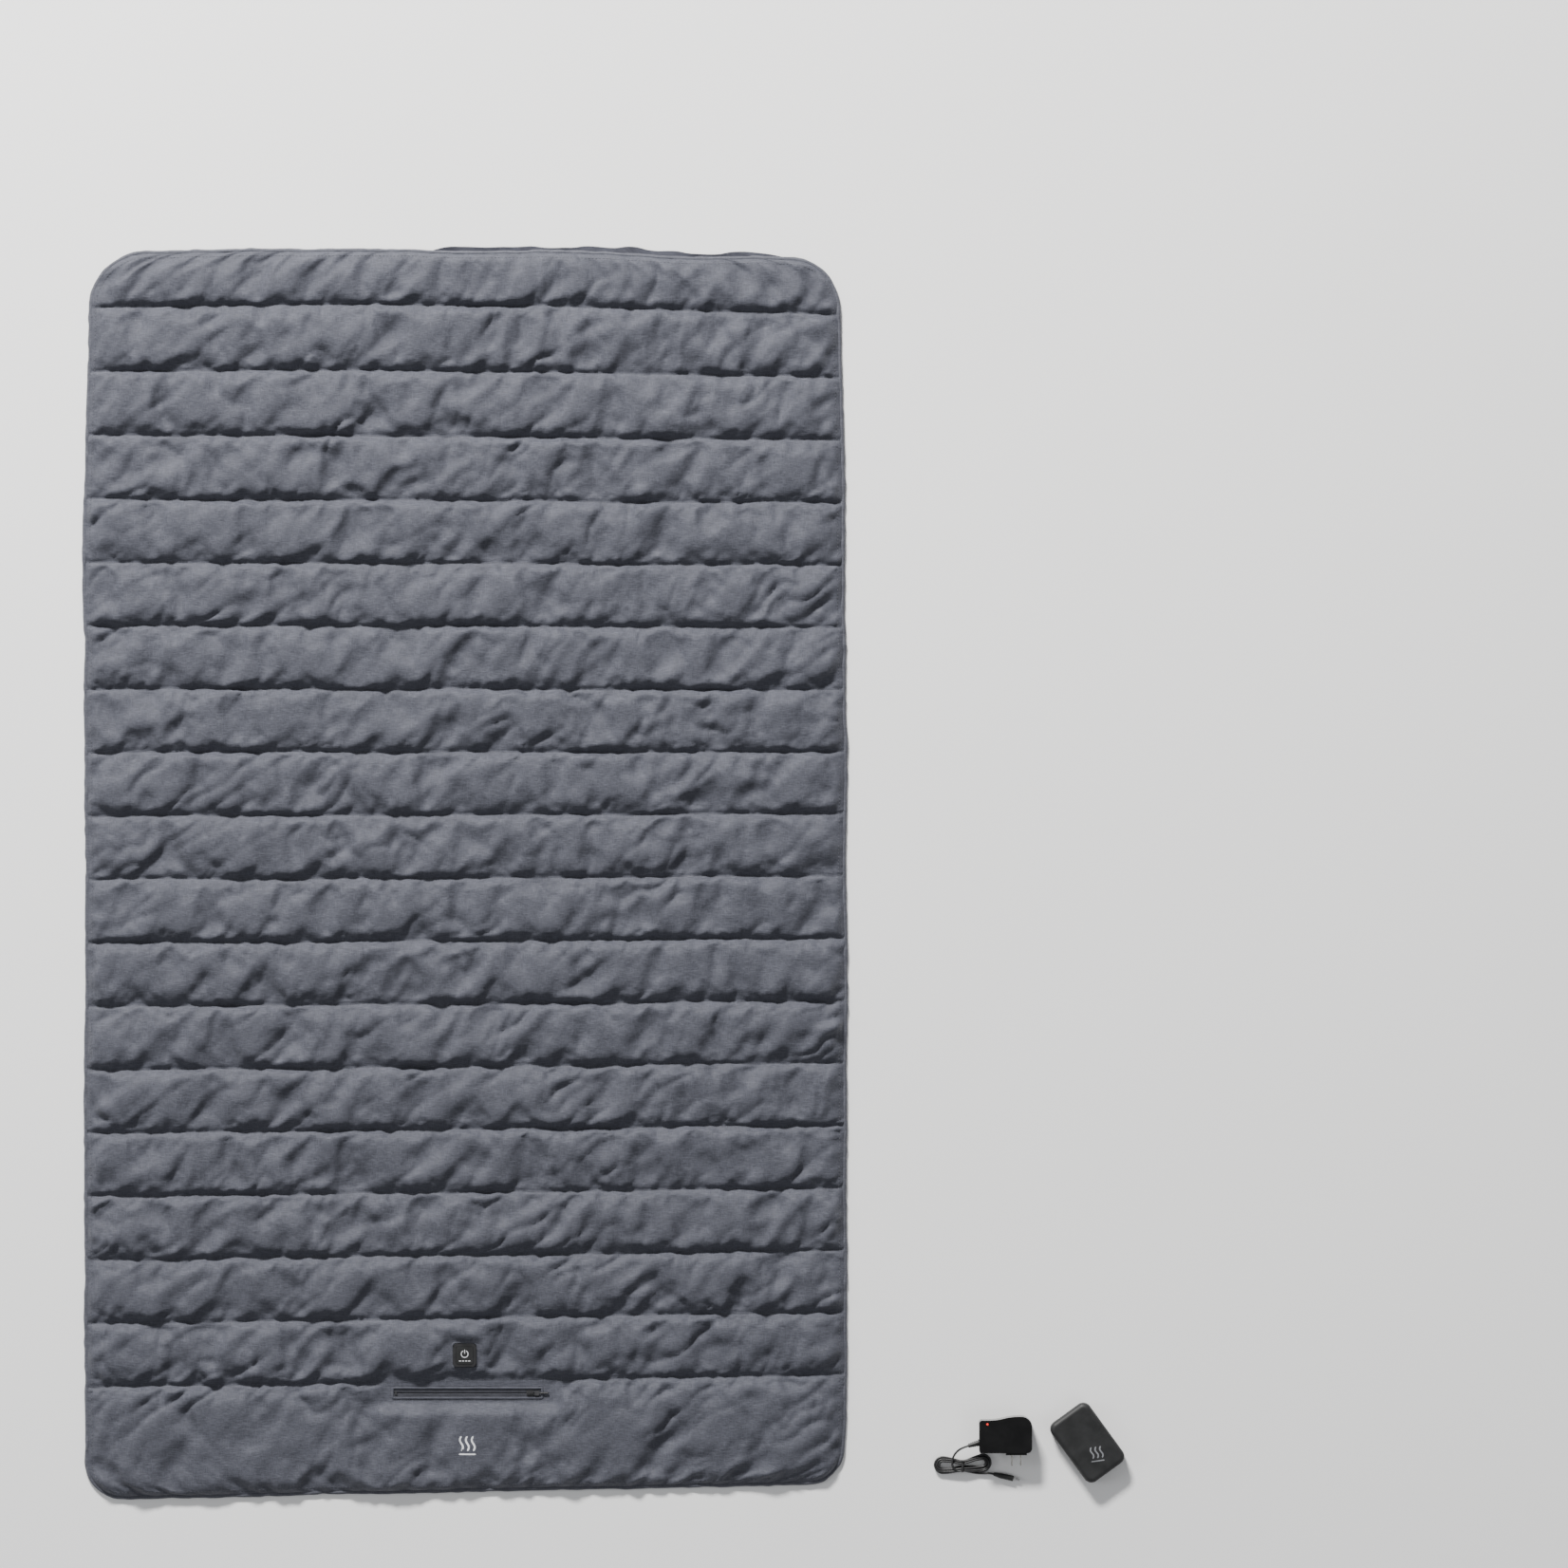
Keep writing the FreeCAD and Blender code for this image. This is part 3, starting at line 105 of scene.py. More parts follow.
def grain(u, v, seed):
    """Smooth random values, about -1 to 1, with one bump for each unit of u and v."""
    grid = lattice(seed)
    u, v = np.asarray(u, float), np.asarray(v, float)
    i, j = np.floor(u).astype(int), np.floor(v).astype(int)
    s, t = u - i, v - j
    s, t = s * s * s * (s * (6 * s - 15) + 10), t * t * t * (t * (6 * t - 15) + 10)
    near = grid[i % 64, j % 64] * (1 - s) + grid[(i + 1) % 64, j % 64] * s
    far = grid[i % 64, (j + 1) % 64] * (1 - s) + grid[(i + 1) % 64, (j + 1) % 64] * s
    return near * (1 - t) + far * t


def step(value, low, high):
    """0 below low, 1 above high, smooth between."""
    t = np.clip((np.asarray(value, float) - low) / (high - low), 0, 1)
    return t * t * (3 - 2 * t)


def beyond(x, y, low, high, margin=0.0):
    """How far points lie outside an upright rectangle that is grown by a margin, 0 inside it."""
    out_x = np.maximum(np.abs(x - (low[0] + high[0]) / 2) - (high[0] - low[0]) / 2 - margin, 0)
    out_y = np.maximum(np.abs(y - (low[1] + high[1]) / 2) - (high[1] - low[1]) / 2 - margin, 0)
    return np.hypot(out_x, out_y)


def warp(x, y):
    """From the flat cut to the cloth as it lies: the seams run slightly downhill and the edges wander."""
    x, y = np.asarray(x, float), np.asarray(y, float)
    across = (x + 0.55) / 1.10
    lifted = y + across * (0.0048 - 0.0194 * y)
    lifted = lifted + 0.012 * np.sin(np.pi * np.clip(across, 0, 1)) * step(y, 0.55, 0.9)
    lifted = lifted + 0.0011 * grain(x * 9, y * 4, 11) + 0.0006 * grain(x * 38, y * 9, 12)
    narrow = 1 - 0.014 * step(y, 0.45, 0.92) - 0.004 * step(-y, 0.7, 0.9)
    side = np.abs(x) / 0.55
    wander = 0.0032 * grain(y * 6.5, x * 0.8, 13) + 0.0012 * grain(y * 21, x * 0.8, 14)
    moved = x * narrow + side ** 6 * wander
    lifted = lifted + (np.abs(y) / 0.9) ** 8 * 0.0035 * grain(x * 6.5, y * 0.8, 15)
    return moved, lifted


def reach(y, side, grow=0.0):
    """How far the flat cut goes to the left (-1) or right (1) at a height y, with its rounded corners."""
    y = np.asarray(y, float)
    radius = np.where(y > 0, CORNERS[(side, 1)], CORNERS[(side, -1)]) + grow
    into = np.clip(radius - (EDGE_Y + grow - np.abs(y)), 0, radius)
    return side * (EDGE_X + grow - radius + np.sqrt(np.maximum(radius * radius - into * into, 0)))


def spread(x, y, grow=0.0):
    """A point of the plain rectangle, moved into the rounded outline and then warped."""
    share = (np.asarray(x, float) + EDGE_X) / (2 * EDGE_X)
    left, right = reach(y, -1, grow), reach(y, 1, grow)
    return warp(left + share * (right - left), y)


def outline(grow, count):
    """Evenly spaced points round the warped outline, anticlockwise from the right side."""
    y = np.concatenate([np.linspace(-1, 1, 1601), [1.0]]) * (EDGE_Y + grow)
    right = np.stack([reach(y, 1, grow), y], 1)
    left = np.stack([reach(y, -1, grow), y], 1)[::-1]
    ring = np.concatenate([right, left, right[:1]])
    far = np.concatenate([[0], np.cumsum(np.linalg.norm(np.diff(ring, axis=0), axis=1))])
    at = np.linspace(0, far[-1], count, endpoint=False)
    flat = np.stack([np.interp(at, far, ring[:, k]) for k in (0, 1)], 1)
    return np.stack(warp(flat[:, 0], flat[:, 1]), 1)


# ------------------------------------------------------------------ materials


class Look:
    """A node material. What is uniform sits on the shader's own sockets; nodes give the rest."""

    def __init__(self, name, **sockets):
        self.material = bpy.data.materials.new(name)
        self.material.use_nodes = True
        self.tree = self.material.node_tree
        self.tree.nodes.clear()
        self.shader = self.tree.nodes.new("ShaderNodeBsdfPrincipled")
        out = self.tree.nodes.new("ShaderNodeOutputMaterial")
        self.tree.links.new(self.shader.outputs[0], out.inputs[0])
        for key, value in sockets.items():
            self.shader.inputs[key.replace("_", " ")].default_value = value
        self.place = self.tree.nodes.new("ShaderNodeTexCoord").outputs["Object"]

    def feed(self, socket, value):
        if isinstance(value, bpy.types.NodeSocket):
            self.tree.links.new(value, socket)
        else:
            socket.default_value = value

    def mapped(self, scale, turn=0.0):
        """Object coordinates, turned about Z and then scaled to cycles for each metre."""
        turned = self.tree.nodes.new("ShaderNodeVectorRotate")
        turned.rotation_type = "Z_AXIS"
        turned.inputs["Angle"].default_value = turn
        self.feed(turned.inputs["Vector"], self.place)
        scaled = self.tree.nodes.new("ShaderNodeVectorMath")
        scaled.operation = "MULTIPLY"
        scaled.inputs[1].default_value = scale
        self.feed(scaled.inputs[0], turned.outputs[0])
        return scaled.outputs[0]

    def noise(self, scale, detail=3.0, rough=0.5, turn=0.0, warped=0.0):
        node = self.tree.nodes.new("ShaderNodeTexNoise")
        node.inputs["Scale"].default_value = 1
        node.inputs["Detail"].default_value = detail
        node.inputs["Roughness"].default_value = rough
        node.inputs["Distortion"].default_value = warped
        self.feed(node.inputs["Vector"], self.mapped(scale, turn))
        return node.outputs["Fac"]

    def cells(self, scale):
        node = self.tree.nodes.new("ShaderNodeTexVoronoi")
        node.inputs["Scale"].default_value = 1
        self.feed(node.inputs["Vector"], self.mapped(scale))
        return node.outputs["Distance"]

    def stripes(self, axis, pitch, turn=0.0, warped=0.0):
        """A sine across one axis with that pitch in metres."""
        node = self.tree.nodes.new("ShaderNodeTexWave")
        node.wave_type, node.bands_direction, node.wave_profile = "BANDS", axis, "SIN"
        node.inputs["Scale"].default_value = 1
        node.inputs["Distortion"].default_value = warped
        scale = math.pi / 10 / pitch
        self.feed(node.inputs["Vector"], self.mapped((scale, scale, scale), turn))
        return node.outputs["Fac"]

    def sum(self, kind, first, second, third=None):
        node = self.tree.nodes.new("ShaderNodeMath")
        node.operation = kind
        self.feed(node.inputs[0], first)
        self.feed(node.inputs[1], second)
        if third is not None:
            self.feed(node.inputs[2], third)
        return node.outputs[0]

    def span(self, value, low, high, start=0.0, end=1.0):
        """value from low..high mapped to start..end, smooth and clamped."""
        node = self.tree.nodes.new("ShaderNodeMapRange")
        node.interpolation_type = "SMOOTHSTEP"
        for key, number in (("From Min", low), ("From Max", high), ("To Min", start), ("To Max", end)):
            node.inputs[key].default_value = number
        self.feed(node.inputs["Value"], value)
        return node.outputs[0]

    def tint(self, share, dark, light):
        node = self.tree.nodes.new("ShaderNodeMix")
        node.data_type = "RGBA"
        self.feed(node.inputs["Factor"], share)
        self.feed(node.inputs["A"], (*dark, 1) if isinstance(dark, tuple) else dark)
        self.feed(node.inputs["B"], (*light, 1) if isinstance(light, tuple) else light)
        return node.outputs["Result"]

    def colour(self, value):
        self.feed(self.shader.inputs["Base Color"], value)
        return self

    def rough(self, value):
        self.feed(self.shader.inputs["Roughness"], value)
        return self

    def bump(self, height, depth, over=None, strength=1.0):
        """Adds a bump of that depth in metres; give the last one's output as over to stack two."""
        node = self.tree.nodes.new("ShaderNodeBump")
        node.inputs["Strength"].default_value = strength
        node.inputs["Distance"].default_value = depth
        self.feed(node.inputs["Height"], height)
        if over is not None:
            self.feed(node.inputs["Normal"], over)
        self.feed(self.shader.inputs["Normal"], node.outputs[0])
        return node.outputs[0]


def woven(name, dark, light, sheen=0.12, roughness=0.62, thread=0.00055, slub=1.0):
    """Plain-weave cloth: two sets of threads, thick and thin places along them, and crumple marks."""
    look = Look(name, Specular_IOR_Level=0.32, Sheen_Weight=sheen, Sheen_Roughness=0.45)
    weft = look.noise((95, 1900, 90), 2, 0.6)
    warp_threads = look.noise((2100, 85, 90), 2, 0.6)
    cross = look.sum("MAXIMUM", look.span(weft, 0.36, 0.72), look.span(warp_threads, 0.4, 0.76))
    patches = look.noise((26, 30, 26), 4, 0.62, 0.6, 0.4)
    mottle = look.noise((210, 260, 200), 3, 0.65)
    mixed = look.sum("MULTIPLY_ADD", cross, 0.46 * slub, look.sum("MULTIPLY", patches, 0.26))
    mixed = look.sum("MULTIPLY_ADD", mottle, 0.34, mixed)
    look.colour(look.tint(look.span(mixed, 0.18, 0.98), dark, light))
    look.rough(look.span(mottle, 0.3, 0.7, roughness - 0.07, roughness + 0.08))
    over = look.sum("MULTIPLY", look.stripes("X", thread), look.stripes("Y", thread))
    first = look.bump(over, 0.00006)
    second = look.bump(cross, 0.00016, first)
    crumple = look.noise((95, 120, 90), 5, 0.6, 0.75, 0.8)
    look.bump(crumple, 0.0011, second, 0.75)
    return look.material


def satin(name, dark, light):
    """Slippery lining cloth: a fine twill, a soft sheen and crease marks."""
    look = Look(name, Specular_IOR_Level=0.45, Sheen_Weight=0.25, Sheen_Roughness=0.3, Anisotropic=0.35)
    twill = look.stripes("DIAGONAL", 0.0007)
    patches = look.noise((14, 20, 14), 4, 0.55, 0.4, 0.7)
    creases = look.noise((60, 90, 60), 4, 0.6, 0.9, 1.2)
    look.colour(look.tint(look.span(patches, 0.3, 0.72), dark, light))
    look.rough(look.span(creases, 0.3, 0.7, 0.36, 0.5))
    look.bump(creases, 0.0008, look.bump(twill, 0.00003))
    return look.material


def spun(name, dark, light, pitch=0.0009):
    """Sewing thread or fibre: a twist along it and loose fuzz."""
    look = Look(name, Specular_IOR_Level=0.3, Sheen_Weight=0.15)
    twist = look.stripes("DIAGONAL", pitch, 0, 0.4)
    fuzz = look.noise((900, 900, 900), 3, 0.7)
    mixed = look.sum("MULTIPLY_ADD", fuzz, 0.5, look.sum("MULTIPLY", twist, 0.5))
    look.colour(look.tint(mixed, dark, light))
    look.rough(look.span(fuzz, 0.3, 0.7, 0.55, 0.75))
    look.bump(twist, 0.00008)
    return look.material


def moulded(name, dark, light, roughness=0.4, grain_size=2600, depth=0.00004, coat=0.0, level=0.5):
    """Moulded plastic, rubber or lacquer: a spark-eroded grain, faint cloudy tone and handling marks."""
    look = Look(name, Specular_IOR_Level=level, Coat_Weight=coat, Coat_Roughness=0.08)
    fine = look.noise((grain_size, grain_size, grain_size), 3, 0.6)
    cloud = look.noise((38, 44, 40), 4, 0.55, 0.3, 0.3)
    marks = look.noise((420, 36, 120), 3, 0.6, 0.7, 0.5)
    look.colour(look.tint(look.span(cloud, 0.28, 0.75), dark, light))
    smudge = look.sum("MULTIPLY_ADD", look.span(marks, 0.45, 0.8), 0.10, look.sum("MULTIPLY", cloud, 0.16))
    look.rough(look.sum("ADD", smudge, roughness - 0.1))
    look.bump(fine, depth, None, 0.7)
    return look.material


def drawn_metal(name, dark, light, roughness=0.28, pitch=0.00018):
    """Drawn or turned metal with fine lines and slight tarnish."""
    look = Look(name, Metallic=1.0, Anisotropic=0.4)
    lines = look.noise((90, 90, 1 / pitch), 2, 0.5)
    tarnish = look.noise((260, 240, 250), 4, 0.6, 0.2, 0.5)
    look.colour(look.tint(look.span(tarnish, 0.3, 0.75), dark, light))
    look.rough(look.span(tarnish, 0.25, 0.75, roughness - 0.06, roughness + 0.12))
    look.bump(lines, 0.00002)
    return look.material


def lens(name, dark, light):
    """A clear moulded lens with a cut inner face and a small red light behind it."""
    look = Look(name, Roughness=0.16, Coat_Weight=0.6, Emission_Color=(1, 0.03, 0.02, 1),
                Emission_Strength=0.7)
    cut = look.span(look.cells((900, 900, 900)), 0.1, 0.7)
    return look.colour(look.tint(cut, dark, light)).material


LOOKS = {
    "face": woven("face_weave", (0.038, 0.040, 0.053), (0.098, 0.102, 0.128)),
    # the binding is the face cloth turned under; its colours are painted a little lighter than the face's to
    # stand for the light that the rolled edge catches
    "binding": woven("binding_weave_painted_lighter", (0.046, 0.048, 0.062), (0.112, 0.116, 0.142), 0.15, 0.6),
    "pocket": satin("pocket_cloth", (0.022, 0.023, 0.03), (0.05, 0.052, 0.064)),
    "lining": satin("lining_satin", (0.028, 0.029, 0.04), (0.075, 0.077, 0.098)),
    "thread": spun("sewing_thread", (0.035, 0.037, 0.052), (0.085, 0.088, 0.11)),
    "filling": spun("filling_fibre", (0.55, 0.55, 0.54), (0.8, 0.8, 0.79), 0.004),
    "heater_sheet": woven("heater_backing", (0.5, 0.5, 0.49), (0.72, 0.72, 0.7), 0.05, 0.7, 0.0008),
    "heater_wire": spun("carbon_wire", (0.012, 0.012, 0.013), (0.045, 0.045, 0.048), 0.0012),
    "plastic": moulded("black_plastic", (0.010, 0.010, 0.011), (0.022, 0.022, 0.024), 0.42),
    "jacket": moulded("cord_jacket", (0.007, 0.007, 0.008), (0.020, 0.020, 0.021), 0.44, 1800, 0.00003),
    "board": moulded("circuit_board", (0.008, 0.06, 0.025), (0.015, 0.11, 0.045), 0.4, 900, 0.00008, 0.3),
    "soft": moulded("soft_touch_black", (0.0085, 0.009, 0.0095), (0.018, 0.0185, 0.0195),
                    0.56, 3200, 0.00005, 0.0, 0.42),
    "mark": moulded("pale_print", (0.62, 0.63, 0.66), (0.86, 0.87, 0.9), 0.5, 1500, 0.00003),
    "steel": drawn_metal("bright_steel", (0.46, 0.46, 0.47), (0.74, 0.74, 0.75)),
    "zip_tape": woven("zip_tape_weave", (0.020, 0.021, 0.028), (0.062, 0.064, 0.08), 0.08, 0.7, 0.0007, 0.8),
    "zip_coil": moulded("zip_coil_nylon", (0.018, 0.018, 0.022), (0.05, 0.05, 0.06), 0.36),
    "black_metal": moulded("black_lacquered_metal", (0.018, 0.018, 0.02), (0.05, 0.05, 0.054),
                           0.3, 1400, 0.00003, 0.3),
    "rubber": moulded("black_rubber", (0.009, 0.009, 0.0095), (0.021, 0.021, 0.022), 0.5, 2200, 0.00005),
    "cell": moulded("cell_wrap", (0.04, 0.14, 0.3), (0.06, 0.2, 0.42), 0.3, 900, 0.00003, 0.3),
    "gloss": moulded("gloss_black", (0.003, 0.003, 0.0033), (0.007, 0.007, 0.0075),
                     0.17, 1500, 0.000012, 0.15, 0.3),
    "brass": drawn_metal("plated_blade", (0.5, 0.48, 0.42), (0.78, 0.76, 0.7), 0.24),
    "component": moulded("component_case", (0.03, 0.05, 0.09), (0.07, 0.1, 0.16), 0.4),
    "lens": lens("red_lens", (0.55, 0.01, 0.01), (0.9, 0.04, 0.03)),
}

# the finish of each slot of the CAD's own pieces
NODE_LOOKS = {
    "black_plastic": "plastic", "cable_jacket": "jacket", "circuit_board": "board", "soft_black": "soft",
    "white_mark": "mark", "steel": "steel", "zip_tape": "zip_tape", "zip_coil": "zip_coil",
    "black_metal": "black_metal", "black_rubber": "rubber", "cell_wrap": "cell", "gloss_black": "gloss",
    "blade_brass": "brass", "red_lens": "lens", "component": "component", "heater_sheet": "heater_sheet",
    "heater_wire": "heater_wire", "face_cloth": "face", "filling": "filling", "lining_cloth": "pocket",
    "binding_cloth": "binding", "thread": "thread",
}
for entry in frame["record"]["subparts"]:
    node = nodes[entry["node"]]
    node.data.materials.clear()
    node.data.materials.append(LOOKS[NODE_LOOKS[entry["material_slot"]]])

# ------------------------------------------------------------------ making pieces


def piece(name, body, material, slot, verts, faces, smooth=True, replaces=()):
    """A mesh that rides on a body, takes a slot's finish and may stand for CAD nodes; the slot itself is not
    used.
    """
    mesh = bpy.data.meshes.new(name)
    corners = [tuple(v) for v in np.asarray(verts, float)]
    mesh.from_pydata(corners, [], [tuple(int(i) for i in f) for f in faces])
    mesh.validate()
    mesh.materials.append(material)
    mesh.polygons.foreach_set("use_smooth", [smooth] * len(mesh.polygons))
    mesh.update()
    obj = bpy.data.objects.new(name, mesh)
    bpy.context.scene.collection.objects.link(obj)
    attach(obj, body)
    if replaces:
        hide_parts(*replaces)
    return obj


def grid_faces(rows, columns, ring=False):
    """Quads of a grid of points; ring closes it along its columns."""
    index = np.arange(rows * columns).reshape(rows, columns)
    if ring:
        index = np.concatenate([index, index[:, :1]], 1)
    return np.stack([index[:-1, :-1], index[:-1, 1:], index[1:, 1:], index[1:, :-1]], -1).reshape(-1, 4)


def frames_along(line):
    """Unit tangents and level and upward normals along a line of points."""
    tangent = np.gradient(line, axis=0)
    tangent /= np.linalg.norm(tangent, axis=1, keepdims=True)
    level = np.cross(tangent, (0, 0, 1.0))
    level /= np.maximum(np.linalg.norm(level, axis=1, keepdims=True), 1e-9)
    return tangent, level, np.cross(level, tangent)


def swept(line, radius, around=8, closed=False, rise=None):
    """A tube along a line: radius is its half width and rise its half height, one number or one a point."""
    line = np.asarray(line, float)
    wide = np.broadcast_to(radius, len(line))
    tall = np.broadcast_to(radius if rise is None else rise, len(line))
    if closed:
        tangent = np.roll(line, -1, 0) - np.roll(line, 1, 0)
        tangent /= np.linalg.norm(tangent, axis=1, keepdims=True)
        level = np.cross(tangent, (0, 0, 1.0))
        level /= np.linalg.norm(level, axis=1, keepdims=True)
        up = np.cross(level, tangent)
    else:
        tangent, level, up = frames_along(line)
    turn = np.linspace(0, 2 * np.pi, around, endpoint=False)
    verts = line[:, None] + level[:, None] * np.cos(turn)[None, :, None] * wide[:, None, None] \
        + up[:, None] * np.sin(turn)[None, :, None] * tall[:, None, None]
    faces = grid_faces(len(line), around, True).tolist()
    last = (len(line) - 1) * around
    if closed:
        faces += [[last + k, last + (k + 1) % around, (k + 1) % around, k] for k in range(around)]
    else:
        faces += [list(range(around - 1, -1, -1)), list(range(last, last + around))]
    return verts.reshape(-1, 3), faces


class Bunch:
    """Collects many small shapes into one mesh."""

    def __init__(self):
        self.verts, self.faces = [], []

    def add(self, verts, faces):
        base = len(self.verts)
        self.verts.extend(np.asarray(verts, float).tolist())
        self.faces.extend([[i + base for i in f] for f in faces])


# kinds of stitches: pitch, the share of it that the thread covers, and the thread's radius
SEAM_STITCH, EDGE_STITCH = (0.0034, 0.8, 0.00042), (0.0052, 0.62, 0.00048)
PAD_STITCH, ZIP_STITCH = (0.0034, 0.75, 0.0003), (0.0026, 0.72, 0.00036)

# a stitch is three rings of three points
STITCH_FACES = [(0, 1, 4, 3), (1, 2, 5, 4), (2, 0, 3, 5), (3, 4, 7, 6), (4, 5, 8, 7), (5, 3, 6, 8),
                (2, 1, 0), (6, 7, 8)]


def stitches(bunch, line, pitch, share, radius, height):
    """Lays stitches along a line of points (x, y): each is a short bead that dives at both ends."""
    line = np.asarray(line, float)
    far = np.concatenate([[0], np.cumsum(np.linalg.norm(np.diff(line, axis=0), axis=1))])
    for start in np.arange(pitch * 0.5, far[-1] - pitch, pitch):
        at = start + np.array([0, 0.5, 1]) * pitch * share
        x, y = np.interp(at, far, line[:, 0]), np.interp(at, far, line[:, 1])
        z = [height(x[k], y[k]) for k in range(3)]
        lift = (0.0, radius * 0.75, 0.0)
        along = np.array([x[2] - x[0], y[2] - y[0], 0.0])
        along /= np.linalg.norm(along)
        side = np.array([-along[1], along[0], 0.0])
        ring = []
        for k in range(3):
            thick = radius * (0.55, 1.0, 0.55)[k]
            centre = np.array([x[k], y[k], z[k] + lift[k]])
            for turn in (0.5, 0.5 + 2 / 3, 0.5 + 4 / 3):
                angle = turn * math.pi
                out = side * math.cos(angle) + np.array([0, 0, 1.0]) * math.sin(angle)
                ring.append(centre + thick * out)
        bunch.add(ring, STITCH_FACES)


# ------------------------------------------------------------------ floor

floor_look = Look("pale_floor", Roughness=0.85, Specular_IOR_Level=0.2)
floor_clouds = floor_look.noise((3, 3, 3), 3, 0.5)
floor_look.colour(floor_look.tint(floor_clouds, (0.89, 0.89, 0.89), (0.92, 0.92, 0.925)))
floor_mesh = bpy.data.meshes.new("floor")
floor_mesh.from_pydata([(-30, -30, 0), (30, -30, 0), (30, 30, 0), (-30, 30, 0)], [], [(0, 1, 2, 3)])
floor_mesh.materials.append(floor_look.material)
floor = bpy.data.objects.new("floor", floor_mesh)
floor.location.z = -0.0002
bpy.context.scene.collection.objects.link(floor)

# ------------------------------------------------------------------ quilted face

BANDS = list(zip([EDGE_Y] + SEAMS, SEAMS + [-EDGE_Y]))
CREST, FOOT_CREST = 0.0078, 0.0068  # how far a channel and the foot panel rise above the seams
CLOTH_STEP = 0.0073  # the cloth's grid
MOST_SHIFT = 0.007  # how far the relaxed cloth may move
# sets of soft folds: height, seed, angle in degrees, length and width
FOLDS = ((0.0042, 31, 36, 0.085, 0.030), (0.0028, 41, 62, 0.06, 0.022), (0.0022, 51, 118, 0.05, 0.022))
# sets of creased facets: seed, angle in degrees, length, width and height
CREASES = ((81, 35, 0.074, 0.023, 0.0070), (86, 66, 0.050, 0.017, 0.0036), (91, 128, 0.042, 0.016, 0.0024))
# folds that run out from the button: bearing in degrees, half width in radians and height
BUTTON_FOLDS = ((218, 0.16, 0.0022), (197, 0.10, 0.0012), (322, 0.14, 0.0024), (345, 0.1, 0.0012),
                (96, 0.14, 0.0014), (20, 0.13, 0.0012), (160, 0.12, 0.0010))
ZIP_DIP = ((-0.112, -0.7555), (0.126, -0.7320))  # where the face lies flat round the zip


def rows_of_face():
    """Heights of the rows, closer together at the seams, and how far each lies from its nearest seam."""
    rows, gaps, foot = [], [], []
    for top, low in BANDS:
        count = max(4, round((top - low) / CLOTH_STEP))
        share = np.arange(count) / count
        share = share - 0.045 * np.sin(2 * np.pi * share)
        rows.append(top - (top - low) * share)
        gaps.append((top - low) * np.minimum(share, 1 - share))
        foot.append(np.full(count, low == -EDGE_Y))
    rows, gaps, foot = (np.concatenate(parts) for parts in (rows, gaps, foot))
    return np.append(rows, -EDGE_Y), np.append(gaps, 0), np.append(foot, True)


def turned(x, y, degrees):
    """Coordinates along and across a direction."""
    a = math.radians(degrees)
    return x * math.cos(a) + y * math.sin(a), y * math.cos(a) - x * math.sin(a)


def folds(x, y, seed, degrees, long, short):
    """Ridges at an angle that wander, fade and start again: 1 on a ridge, down to -0.5 between."""
    u, v = turned(x, y, degrees)
    u = u + 0.018 * grain(x / 0.07, y / 0.07, seed + 1)
    v = v + 0.016 * grain(x / 0.06, y / 0.05, seed + 2)
    ridge = 1 - 2.1 * np.abs(grain(u / long, v / short, seed))
    return np.clip(ridge, -0.5, 1) * step(grain(x / 0.13, y / 0.10, seed + 3), -0.45, 0.35)


def facets(x, y, seed, degrees, long, short, tall):
    """Crumpled cloth: soft faces that meet in sharp creases, stronger in some places than in others."""
    u, v = turned(x, y, degrees)
    u = u + 0.012 * grain(x / 0.04, y / 0.04, seed + 1)
    v = v + 0.010 * grain(x / 0.035, y / 0.035, seed + 2)
    strength = 0.25 + 0.75 * step(grain(x / 0.10, y / 0.08, seed + 3), -0.4, 0.4)
    return tall * strength * (np.abs(grain(u / long, v / short, seed)) - 0.4)


def cloth_relax(points, faces, held, frames=16):
    """Lets the cloth, cut a little too large for its seams, find its own creases over the filling."""
    mesh = bpy.data.meshes.new("relaxing")
    mesh.from_pydata(points.tolist(), [], faces.tolist())
    obj = bpy.data.objects.new("relaxing", mesh)
    bpy.context.scene.collection.objects.link(obj)
    group = obj.vertex_groups.new(name="held")
    group.add([int(i) for i in held], 1.0, "REPLACE")
    modifier = obj.modifiers.new("cloth", "CLOTH")
    cloth = modifier.settings
    cloth.quality, cloth.mass, cloth.air_damping = 5, 0.15, 2
    cloth.tension_stiffness = cloth.compression_stiffness = 20
    cloth.shear_stiffness, cloth.bending_stiffness = 8, 6
    cloth.tension_damping = cloth.compression_damping = cloth.shear_damping = 8
    cloth.bending_damping = 0.5
    cloth.vertex_group_mass, cloth.pin_stiffness = "held", 1
    cloth.shrink_min = -0.055
    cloth.use_pressure, cloth.uniform_pressure_force = True, 1.4
    cloth.effector_weights.gravity = 0
    modifier.collision_settings.use_collision = False
    modifier.collision_settings.use_self_collision = False
    scene = bpy.context.scene
    modifier.point_cache.frame_start, modifier.point_cache.frame_end = 1, frames
    scene.frame_start, scene.frame_end = 1, frames
    for number in range(1, frames + 1):
        scene.frame_set(number)
    relaxed = obj.evaluated_get(bpy.context.evaluated_depsgraph_get())
    out = np.zeros(len(points) * 3, np.float32)
    relaxed.data.vertices.foreach_get("co", out)
    scene.frame_set(1)
    bpy.data.objects.remove(obj)
    return out.reshape(-1, 3).astype(float)


